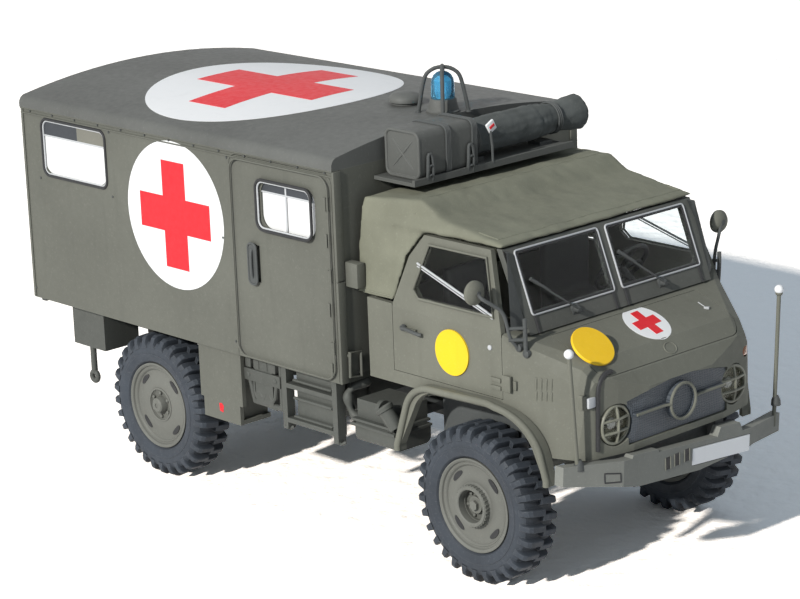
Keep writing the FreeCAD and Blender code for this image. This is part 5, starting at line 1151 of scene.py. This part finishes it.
# %% Mesh, ring and bar
def woven(name, wire_tone, gap_tone, spacing):
    """A mesh of crossed wires, a given number of mm apart."""
    material, nodes, links, main = shader(name)
    place = nodes.new("ShaderNodeTexCoord")
    top = nodes.new("ShaderNodeMath")
    top.operation = "MAXIMUM"
    for axis, socket in zip(("Y", "Z"), top.inputs):
        bands = nodes.new("ShaderNodeTexWave")
        bands.bands_direction = axis
        bands.inputs["Scale"].default_value = math.tau/(20*spacing*MM)
        links.new(place.outputs["Object"], bands.inputs["Vector"])
        links.new(bands.outputs["Fac"], socket)
    shown = ranged(nodes, links, top.outputs[0], 0.55, 0.85)
    # Painted shade: the gaps between the wires are dark for the shade seen through the mesh.
    tone = mixed(nodes, links, shown, gap_tone, wire_tone)
    # Painted shade: the mesh is darker in its corners and recesses.
    tone = mixed(nodes, links, ranged(nodes, links, corners(nodes, links, 1.2), 0, 1, 0, 0.6), tone, gap_tone)
    links.new(tone, main.inputs["Base Color"])
    main.inputs["Roughness"].default_value = 0.6
    relief(nodes, links, main, top.outputs[0], 0.6, 0.12)
    return material

mesh_dark = woven("mesh_dark", (0.072, 0.084, 0.098), (0.040, 0.049, 0.060), 0.42)
repaint(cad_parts["grille"].data, mesh_dark)
grille_low, grille_high = node_box("grille")
boss = middle_of("grille", lambda spot: spot.x > grille_high.x - 0.3)
ring_piece = Piece("grille_ring")
ring_piece.wire(circle(Vector((grille_high.x + 0.1, boss.y, boss.z)), 3.0, Y, Z, 64), 0.25, 10, closed=True)
ring_edge, bar_end = 3.15, 11.4
for side, way in SIDES:
    beside = [(75, boss.y + way*(ring_edge + (bar_end - ring_edge)*n/8), boss.z + 0.1) for n in range(9)]
    ring_piece.wire(traced(skin("grille"), beside, from_front, 0.12), 0.24, 8)
ring_piece.done(body_olive)
print("grille boss at", [round(k, 2) for k in boss], "grille from", [round(k, 2) for k in grille_low])

# %% [markdown]
# ## Bonnet fittings
# A small raised oval sits above the grille and is left bare. A bright catch holds the
# edge of the lid on the left.

# %% Bonnet oval and catch
oval = [(75, -0.3 + 1.3*math.sin(math.tau*n/32), 38.3 + 0.75*math.cos(math.tau*n/32)) for n in range(32)]
Piece("bonnet_fittings").wire(
    traced(skin("bonnet", "cab_shell"), oval, from_front), 0.12, 8, closed=True).done(body_olive)
spot = touch(nose, (61.9, 14.1, 60), from_above)
low, high = spot - Vector((0.45, 0.3, 0.1)), spot + Vector((0.45, 0.3, 0.3))
tongue = touch(nose, (60.0, 14.13, 60), from_above, 0.05)
Piece("bonnet_catch").block(low, high, 0.08, (35, "Z")).wire([spot + 0.1*Z, tongue], 0.08, 6).done(bright_metal)
print("catch at", [round(k, 2) for k in spot])

# %% [markdown]
# ## Bumper fittings and marker rods
# The bumper has three upright slots near the plate and a pressed step box at each end.
# The slots are thin dark films between paler ribs, painted shade in place of openings, and
# a dark line of painted shade runs round each step box. Marker rods end in white balls,
# which show the driver where the corners are.

# %% Slots, step boxes and balls
beam, before = skin("front_bumper"), 80
# Painted shade: the dark films stand for the shade inside the slots and along the edge of each step box.
slots_dark, ribs = Piece("bumper_slots"), Piece("bumper_ribs")
slot_lean, slot_level = 0.6*math.tan(math.radians(4.3)), -3
for y in (-4.95, -2.75, -0.3):
    low, high = [level + (y - slot_level)*slot_lean for level in (19.5, 21.6)]
    back_face, front_face = [
        slots_dark.corners([touch(beam, (before, y + dy, z), from_front, lift)
                            for dy, z in ((-0.5, low), (0.5, low), (0.5, high), (-0.5, high))])
        for lift in (-0.05, 0.03)]
    slots_dark.facet(back_face[::-1])
    slots_dark.facet(front_face)
    slots_dark.band(back_face, front_face)
    for dy in (-0.62, 0.62):
        ribs.wire(traced(beam, [(before, y + dy, low), (before, y + dy, high)], from_front, 0.02), 0.12, 6)
nose_middle, box_lift = -0.6, {-1: 0, 1: 1.3}
for side, way in SIDES:
    outline = [(nose_middle + way*out, z + box_lift[way])
               for out, z in ((18.2, 22.07), (15.4, 21.59), (15.4, 20.18), (18.2, 20.49))]
    dense = [(before, a[0] + (b[0] - a[0])*k/6, a[1] + (b[1] - a[1])*k/6)
             for a, b in zip(outline, outline[1:] + outline[:1]) for k in range(6)]
    slots_dark.wire(traced(beam, dense, from_front), 0.12, 6, closed=True)
slots_dark.done(rubber_black, slot="chassis_paint")
ribs.done(body_olive)

balls, feet = Piece("rod_balls"), Piece("rod_feet")
ball = [(-0.8, 0.0), (-0.72, 0.35), (-0.5, 0.62), (-0.2, 0.78), (0.15, 0.8), (0.5, 0.63), (0.75, 0.3), (0.8, 0)]
foot_level = {-1: 23.9, 1: 22.8}
for side, way in SIDES:
    high = middle_of("marker_rods", lambda spot: spot.z > 42.2 and spot.y*way > 0)
    low = min((spot for spot in corners_of("marker_rods") if spot.y*way > 0), key=lambda spot: spot.z)
    balls.turned(ball, high, "z", 24)
    feet.turned([(-0.6, 0.85), (0.3, 0.8), (1.1, 0.45), (1.1, 0)],
                low.lerp(high, (foot_level[way] - low.z)/(high.z - low.z)), "z", 20)
    print("rod ball", side, [round(k, 2) for k in high])
balls.done(white_enamel, slot="white_plate")
feet.done(dark_olive)

# %% [markdown]
# ## Stowage can on the roof rack
# The can is a pressed box with round corners. Its outer end has a rolled rim and a crossed
# stiffening rib, two straps run round it, and two crumpled clamps hold it to the rack.

# %% Can, straps and clamps
can_low, can_high = node_box("stowage_can")
case, can_end = Piece("stowage_case"), can_low.y + 0.1
case.plate(rounded_loop(can_low.z, 71.9, can_low.x, can_high.x + 0.2, 1.3, 6), "y", can_end, can_high.y, 0.2)
rim_loop = rounded_loop(can_low.z + 0.2, 71.7, can_low.x + 0.2, can_high.x, 1.2, 6)
case.wire([(x, can_end, z) for z, x in rim_loop], 0.28, 10, closed=True)
x0, x1, levels = can_low.x + 1.7, can_high.x - 1.5, (can_low.z + 1.7, 70.2)
for z0, z1 in (levels, levels[::-1]):
    case.wire([(x0 + (x1 - x0)*n/4, can_low.y + 0.12, z0 + (z1 - z0)*n/4) for n in range(5)],
              lambda t: 0.10 + 0.5*t*(1 - t), 8)
case.done(can_olive, stands_for=("stowage_can",))
straps = Piece("stowage_straps")
strap_loop = rounded_loop(can_low.z - 0.15, 72.0, can_low.x - 0.1, can_high.x + 0.3, 1.2, 5)
for y in (-11.65, -5.6):
    for shift in (-0.45, -0.15, 0.15, 0.45):
        straps.wire([(x, y + shift, z) for z, x in strap_loop], 0.2, 6, closed=True)
crumpled = ((28.0, -0.5, 63.3), (28.4, -0.6, 65.2), (28.25, -0.4, 66.8), (28.1, -0.2, 68.0), (28.2, 0.4, 68.1),
            (28.35, 0.6, 66.4), (28.5, 0.45, 64.8), (28.1, 0.6, 63.3))
for y in (-16.3, -6.9):
    straps.wire([(x, y + dy, z) for x, dy, z in crumpled], 0.3, 10, smooth=1)
    for level in (64.4, 66.0):
        straps.wire([(28.25, y - 0.6, level), (28.5, y, level + 0.15), (28.3, y + 0.6, level)], 0.24, 8)
straps.done(dark_olive)
print("can from", [round(k, 2) for k in can_low], "to", [round(k, 2) for k in can_high])

# %% [markdown]
# ## Rolled tarpaulin
# The tarpaulin is turned along the rack in one profile: a long smooth roll, a gathered
# collar, the place where a strap draws it in, and a mouth that flares again. Noise pulls
# the points in and lets a few stand out a hair, and stretched folds run along the roll.

# %% Roll, strap and tag
roll_low, roll_high = node_box("rolled_tarp")
roll_middle = Vector((23.15, 0, 67.75))
profile = [(roll_low.y, 0), (roll_low.y, 2.7), (roll_low.y + 0.35, 3.05), (0.0, 3.15), (8.0, 3.2), (12.6, 3.15),
           (13.1, 2.9), (13.6, 3.1), (14.3, 2.85), (14.9, 3.0), (15.6, 2.75), (16.6, 2.7), (19.0, 2.6),
           (20.0, 2.75), (22.0, 3.05), (24.0, 3.2), (roll_high.y, 3.0), (roll_high.y, 2.4), (23.5, 2.0), (22.6, 0)]
fine = []
for (a, r), (b, s) in zip(profile, profile[1:]):
    parts = max(1, round(abs(b - a)/0.5))
    fine += [(a + (b - a)*k/parts, r + (s - r)*k/parts) for k in range(parts)]
roll, fold_depth, most_out = Piece("tarp_roll"), 0.22, 0.02
roll.turned(fine + [profile[-1]], roll_middle, "y", 72)
for vert in roll.mesh.verts:
    out = Vector((vert.co.x - roll_middle.x, 0, vert.co.z - roll_middle.z))
    if out.length > 1:
        along_roll = Vector((vert.co.x*0.9, vert.co.y*0.16, vert.co.z*0.9))
        fold = wobble.noise(along_roll) + 0.5*wobble.noise(vert.co*1.3)
        vert.co += out.normalized()*min(most_out, fold_depth*fold - 0.06)
roll.done(tarp_khaki, slot="canvas_paint", stands_for=("rolled_tarp",), crisp=60)
band = Piece("tarp_straps")
for y, radius in ((17.6, 2.72), (-3.0, 3.15)):
    for shift in (-0.4, 0, 0.4):
        band.wire(circle(roll_middle + (y + shift)*Y, radius, X, Z, 40), 0.18, 6, closed=True)
band.done(dark_olive, slot="canvas_paint")
Piece("tag_stem").wire([(28.2, -1.6, 63.9), (28.2, -1.65, 66.8), (27.9, -1.7, 69.4)], 0.22, 8).done(dark_olive)
for name, low, high, ease, finish in (("flag", (27.5, -2.3, 69.2), (28.0, -0.5, 71.0), 0.15, white_enamel),
                                      ("mark", (27.7, -2.0, 69.9), (28.1, -0.8, 70.4), 0.08, red_enamel)):
    Piece(f"tag_{name}").block(low, high, ease, (28, "X")).done(finish, slot="white_plate")
print("roll turned through", len(fine) + 1, "points")

# %% [markdown]
# ## Beacon and its guard
# The beacon has a flared grey foot, a blue dome and a bright reflector inside it.
# Two bent hoops cross over it on the diagonals and stand on four legs, which are let a
# little into the roof so that they stay joined to it. The roof vent has a turned cap.

# %% Beacon, dome and hoops
beacon_spot = Vector((15.35, -0.5, 71.0))
Piece("beacon_foot").turned(
    [(-0.1, 2.9), (0.25, 2.95), (0.45, 2.7), (1.4, 2.45), (2.2, 2.3), (2.35, 2.15), (2.35, 0)],
    beacon_spot, "z", 56).done(roof_olive_painted_shade)
Piece("beacon_dome").turned(
    [(2.3, 0), (2.3, 2.0), (2.6, 2.05), (5.0, 2.02), (5.7, 1.9), (6.4, 1.55), (6.85, 1.0), (7.05, 0.45), (7.1, 0)],
    beacon_spot, "z", 56).done(blue_lens, slot="blue_lens", stands_for=("beacon",))
Piece("beacon_reflector").turned(
    [(2.4, 0), (2.4, 1.0), (3.6, 1.25), (5.4, 1.3), (5.9, 0.8), (5.9, 0)],
    beacon_spot, "z", 32).done(pale_blue, slot="blue_lens")
hoops, leg_out = Piece("beacon_hoops"), 4.35
for angle, top in ((45, 7.75), (135, 7.9)):
    out = Vector((math.cos(math.radians(angle)), math.sin(math.radians(angle)), 0))
    arch = [(leg_out, -0.15), (3.9, 2.3), (3.45, 4.6), (2.95, 6.4), (2.1, top - 0.55), (0.9, top)]
    arch += [(-far, height) for far, height in arch[::-1]]
    hoops.wire([beacon_spot + out*far + Vector((0, 0, height)) for far, height in arch], 0.35, 10, smooth=2)
    for way in (-1, 1):
        hoops.turned([(-0.2, 0.6), (0.12, 0.55), (0.12, 0)], beacon_spot + out*leg_out*way, "z", 16)
hoops.done(dark_olive, stands_for=("beacon_guard",))
vent_low, vent_high = node_box("roof_vent")
vent_middle = (vent_low + vent_high)/2
Piece("vent_cap").turned(
    [(0, 2.5), (0.45, 2.55), (0.5, 3.0), (0.95, 3.02), (1.35, 2.85), (1.8, 2.2), (2.05, 1.2), (2.15, 0)],
    (vent_middle.x, vent_middle.y, vent_low.z), "z", 56).done(roof_olive_painted_shade, stands_for=("roof_vent",))
print("beacon and vent on the roof")

# %% [markdown]
# ## Trim of the box
# Folded strips close the edges of the box. A gutter runs under the roof on both sides with
# a row of small rivets, angle strips stand at the front corners, and the side door has
# four hinges, a recessed pull and a bead round its edge.

# %% Gutters, rivets, hinges and pulls
wall_out, wall_top, wall_foot = 29.0, 65.9, 29.3
trim, rivets = Piece("box_trim"), Piece("box_rivets")
for side, way in SIDES:
    wall_y = way*wall_out
    for level, radius in ((65.95, 0.24), (65.0, 0.14)):
        trim.wire([(-69.3 + 87.6*n/4, wall_y + way*0.12, level) for n in range(5)], radius, 8)
    for n in range(13):
        rivets.turned([(-0.1, 0.2), (0.2, 0.18), (0.28, 0.08), (0.28, 0)], (-66.5 + 6.9*n, wall_y, 65.5),
                      outward(way), 10)
    for x, z in ((-64.6, 65.0), (-42.6, 64.6), (-64.6, 53.0), (-42.6, 52.6), (-9.3, 64.6), (-9.4, 31.5),
                 (-68.6, 31.0), (-11.4, 50.0)):
        rivets.turned([(-0.1, 0.22), (0.15, 0.2), (0.15, 0)], (x, wall_y, z), outward(way), 10)
    for x0, x1, inner, outer, low, high, ease in (
            (18.1, 18.6, 27.6, 29.25, wall_foot, 46.9, 0.08), (18.1, 18.6, 27.6, 29.25, 47.2, wall_top, 0.08),
            (-69.3, -68.7, wall_out, 29.2, wall_foot, wall_top, 0.06)):
        y0, y1 = sorted((way*inner, way*outer))
        trim.block((x0, y0, low), (x1, y1, high), ease)
trim.block((18.2, -27.4, 46.0), (21.4, -25.5, 50.3), 0.25)
trim.wire([(18.9, -27.6, 34.6), (18.9, -25.1, 34.2), (18.9, -25.1, 29.9), (18.9, -27.6, 30.3)], 0.32, 10,
          closed=True)
for y, z in ((-27.6, 34.0), (-25.2, 30.6)):
    trim.wire([(18.2, y, z), (18.95, y, z)], 0.3, 8)
trim.done(box_olive)
rivets.done(dark_olive)

face_y, (door_low, door_high) = -29.55, node_box("side_door")
door_trim = Piece("side_door_fittings")
loop = rounded_loop(door_low.x + 0.5, door_high.x - 0.5, door_low.z + 0.5, door_high.z - 0.5, 2.2, 6)
door_trim.wire([(x, face_y + 0.05, z) for x, z in loop], 0.16, 8, closed=True)
for z in (60.3, 54.0, 42.0, 31.5):
    door_trim.block((16.3, face_y - 0.2, z - 1.2), (16.8, face_y + 0.1, z + 1.2), 0.1)
door_trim.done(box_olive)
pull = Piece("side_door_pull")
pull.wire([(x, face_y, z) for x, z in rounded_loop(-4.2, -2.0, 43.1, 50.4, 0.9, 5)], 0.2, 8, closed=True)
pull.plate([(z, x) for x, z in rounded_loop(-4.0, -2.2, 43.3, 50.2, 0.8, 5)], "y", face_y + 0.02, face_y - 0.04)
pull.wire([(-3.1, face_y, 49.3), (-3.1, face_y - 0.3, 48.7), (-3.1, face_y - 0.3, 45.0), (-3.1, face_y, 44.3)],
          0.24, 8, smooth=1)
pull.done(dark_olive)
print("box trimmed, side door from", [round(k, 2) for k in door_low])

# %% [markdown]
# ## Under the side
# Beneath the box hang the tool clamp, the folded step, the tank and its filler. The filler
# is a wide cap on a short slanted neck, and two pipes run behind it.

# %% Tool clamp, tank, filler and pipes
hidden = {"finish": under_olive, "slot": "chassis_paint"}
under = Piece("tool_clamp")
for x in (-8.6, -6.4, -4.2, -2.0):
    under.block((x - 0.75, -27.35, 26.6), (x + 0.75, -24.6, 28.3), 0.2)
under.block((-9.8, -27.45, 24.2), (0.0, -26.9, 26.4), 0.2)
for x in (-8.4, -1.2):
    under.turned([(-0.6, 0.5), (0.15, 0.45), (0.25, 0.25), (0.25, 0)], (x, -27.4, 25.3), outward(-1), 12)
under.wire([(-7.8, -26.6, 24.6), (-7.6, -26.8, 21.6), (-5.6, -26.9, 20.3), (-0.4, -26.9, 19.9),
            (-0.1, -26.8, 24.4)], 0.28, 8, smooth=1)
for x in (-5.9, -3.4):
    under.wire([(x, -26.7, 24.4), (x + 0.2, -26.9, 21.9), (x + 1.4, -26.9, 21.3), (x + 1.7, -26.7, 24.4)],
               0.42, 8, smooth=1)
under.done(**hidden)

tank_low, tank_high = node_box("fuel_tank")
slant = Vector((-0.50, -0.22, 0.84)).normalized()
level_way = slant.cross(Y).normalized()
filler = Piece("tank_filler")
filler.turned([(-3.6, 1.25), (-0.2, 1.3), (-0.1, 1.55), (0.5, 1.6), (0.7, 1.45), (0.7, 1.05), (0.5, 1.0),
               (0.5, 0)], (27.4, -27.7, 26.3), (slant, level_way, slant.cross(level_way)), 36)
x0, x1, y0, y1 = tank_low.x - 0.05, tank_high.x + 0.05, tank_low.y + 0.1, tank_high.y
filler.wire([(x, y - 0.05, tank_low.z + 3.1) for x, y in ((x0, y0), (x1, y0), (x1, y1), (x0, y1))],
            0.3, 8, closed=True)
filler.done(**hidden)
Piece("side_pipes").wire(
    [(17.9, -22.5, 28.4), (17.0, -25.6, 27.6), (16.6, -26.4, 26.6), (16.8, -26.4, 24.9), (17.3, -26.2, 23.2),
     (18.6, -25.6, 22.2)], lambda t: 0.75 + 0.22*math.sin(16*t), 12, smooth=2).wire(
    [(15.8, -24.0, 28.6), (15.4, -25.4, 27.0), (15.9, -25.5, 24.6), (16.4, -25.0, 23.4)], 0.4, 10,
    smooth=2).done(**hidden)
print("tank from", [round(k, 2) for k in tank_low])

# %% [markdown]
# ## Air tank and step
# The air tank is a long turned drum in two bands, hung from straps. Behind it a plain dark wall
# closes the view under the truck, standing in for the shade there. The folded step gets its
# hooks and three treads.

# %% Air tank and step
air_middle, air_tank = Vector((8.6, -22.4, 25.2)), Piece("air_tank")
air_tank.turned([(-6.2, 0), (-6.2, 1.9), (-5.9, 2.7), (-5.2, 3.15), (5.2, 3.15), (5.9, 2.7), (6.2, 1.9),
                 (6.2, 0)], air_middle, "x", 48)
for x in (4.8, 12.4):
    band_middle = Vector((x, air_middle.y, air_middle.z))
    air_tank.wire(circle(band_middle, 3.2, Y, Z, 36), 0.25, 6, closed=True)
    air_tank.block((x - 0.4, -22.6, 27.9), (x + 0.4, -18.6, 29.0), 0.08)
# Painted shade: a dark wall behind the tank stands for the shade under the truck.
air_tank.plate([(-20.2, 19.5), (-20.0, 19.5), (-20.0, 25.5), (-20.2, 25.5)], "x", 2.6, 14.6)
air_tank.done(**hidden)

step_extra, (step_low, step_high) = Piece("step_fittings"), node_box("side_step")
for x in (step_low.x + 0.4, step_high.x - 0.4):
    hook = [step_low + Vector(shift) for shift in ((0, 0.2, 0.6), (0.4, 0.6, -0.2), (1.1, 1.1, 0.3))]
    step_extra.wire([(x + spot.x - step_low.x, spot.y, spot.z) for spot in hook], 0.3, 8, smooth=1)
for level in (20.0, 23.4, 26.6):
    y = step_low.y + 0.9
    step_extra.wire([(step_low.x + 2.2, y, level), (step_high.x - 2.2, y, level)], 0.3, 8)
step_extra.done(**hidden)
print("step from", [round(k, 2) for k in step_low])

# %% [markdown]
# ## Springs and running gear
# The springs are real coils here: a tube wound as a helix between two cups at each wheel.
# Each coil takes the place of a plain column of the same height and width.

# %% Coil springs
coils = Piece("spring_coils")
axles, turns, steps, tube = (46.35, -36.55), 3.5, 112, 0.35
for x in axles:
    for side, way in SIDES:
        low, high = box_of([spot for spot in corners_of("coil_springs")
                            if spot.y*way > 0 and abs(spot.x - x) < 12])
        middle, wide, tall = (low + high)/2, (high.x - low.x)/2, high.z - low.z
        helix = []
        for n in range(steps + 1):
            angle = math.tau*turns*n/steps
            helix.append((middle.x + (wide - tube)*math.cos(angle), middle.y + (wide - tube)*math.sin(angle),
                          low.z + tube + (tall - 2*tube)*n/steps))
        coils.wire(helix, tube, 8)
        coils.turned([(0.0, 0), (0.0, wide - 0.1), (0.3, wide), (0.3, 0.6), (tall - 0.3, 0.6),
                      (tall - 0.3, wide), (tall, wide - 0.1), (tall, 0)], (middle.x, middle.y, low.z), "z", 32)
coils.done(dark_olive, slot="chassis_paint", stands_for=("coil_springs",))
print("four springs wound")

# %% [markdown]
# ## Back of the box
# Two doors close the back. Each has three hinges at its outer edge, a bead round it, and
# the right one carries the long bolt with its turning handle. A lamp with a red and an
# amber lens hangs under each corner.

# %% Rear doors and lamps
rear_low, rear_high = node_box("rear_doors")
rear = Piece("rear_door_fittings")
rear_x = rear_low.x + 0.15
bolt_x, bolt_y = rear_x + 0.25, -1.6
for side, way in SIDES:
    a, b = sorted((way*0.7, way*24.3))
    loop = rounded_loop(a + 0.4, b - 0.4, rear_low.z + 0.7, rear_high.z - 0.7, 1.4, 5)
    rear.wire([(rear_x + 0.1, y, z) for y, z in loop], 0.2, 8, closed=True)
    for z in (36.5, 48.0, 59.5):
        rear.block((rear_x, way*24.2 - 1.3, z - 0.9), (rear_x + 0.5, way*24.2 + 1.3, z + 0.9), 0.15)
        rear.wire([(bolt_x, way*25.3, z - 1.1), (bolt_x, way*25.3, z + 1.1)], 0.3, 10)
rear.wire([(bolt_x, bolt_y, 34.0), (bolt_x, bolt_y, 62.5)], 0.3, 10)
for z in (35.0, 48.0, 61.0):
    rear.block((rear_x, -2.3, z - 0.6), (rear_x + 0.5, -0.9, z + 0.6), 0.12)
rear.wire([(rear_x + 0.2, bolt_y, 47.0), (rear_x + 0.2, -4.6, 46.7)], 0.3, 10)
rear.done(box_olive)
lamp_out = 25.0
for side, way in SIDES:
    y = way*lamp_out
    Piece(f"tail_lamp_{side}").block((-69.3, y - 2.6, 28.0), (-67.9, y + 2.6, 30.2), 0.25).done(dark_olive)
    for name, shift, finish in (("red", -1.1, red_lens), ("amber", 1.1, amber_lens)):
        y = way*(lamp_out + shift)
        Piece(f"tail_lens_{name}_{side}").block((-69.7, y - 0.9, 28.3), (-69.2, y + 0.9, 29.9), 0.2).done(
            finish, slot="lamp_lens")
print("rear doors and tail lamps fitted")

# %% [markdown]
# ## Rolled edges of the wings and the wheel houses
# The edge of each wing is rolled outwards into a fat round lip, which follows the arch
# from the bumper over the top and down to its rear foot. Behind the front wheels a dark
# apron closes the wheel house towards the frame, clear of the tyre; its lower part behind
# the wheel is a dark sheet of painted shade that fills the shaded gap under the wing.

# %% Wing lips and aprons
def arch_line(side, inset=0.5):
    """A wing's outer edge in (x, y, z), from the front foot over the arch to the rear foot."""
    spots = corners_of("wing_" + side)
    edge = sorted({(round(spot.x, 2), round(spot.z, 2)) for spot in spots})
    hull = [Vector(edge[n]) for n in convex_hull_2d(edge)]
    middle = Vector(((edge[0][0] + edge[-1][0])/2, min(spot[1] for spot in edge)))
    hull.sort(key=lambda spot: math.atan2(spot.y - middle.y, spot.x - middle.x))
    line = []
    for spot in hull:
        beside = [abs(other.y) for other in spots if (Vector((other.x, other.z)) - spot).length < 0.3]
        inner = spot - (spot - middle).normalized()*inset
        line.append((inner.x, max(beside), inner.y))
    return line

lip_radius, reach = 0.6, 0.2
apron_gap, apron_wall, rear_low, shade_sheet_run, top_low = 18.95, 0.2, 17.0, 7.5, 21.5
for side, way in SIDES:
    line = arch_line(side)
    edge = [(x, way*(y + reach), z) for x, y, z in line]
    lip = Piece(f"wing_lip_{side}").wire(edge, lip_radius, 12).done(body_olive)
    inside = [(z, x) for x, y, z in line if z > top_low]
    rear_x = inside[-1][1]
    # Painted shade: below the arch and behind the wheel the apron runs on as a dark sheet where there is only
    # shade.
    inside += [(rear_low, rear_x), (rear_low, rear_x + shade_sheet_run), (top_low, rear_x + shade_sheet_run)]
    low, high = sorted((way*apron_gap, way*(apron_gap + apron_wall)))
    Piece(f"wheel_house_and_shade_{side}").plate(inside, "y", low, high).done(dark_olive, slot="chassis_paint")
    print(f"wing edge on the {side}: {len(line)} points, lip {len(lip.data.polygons)} faces")
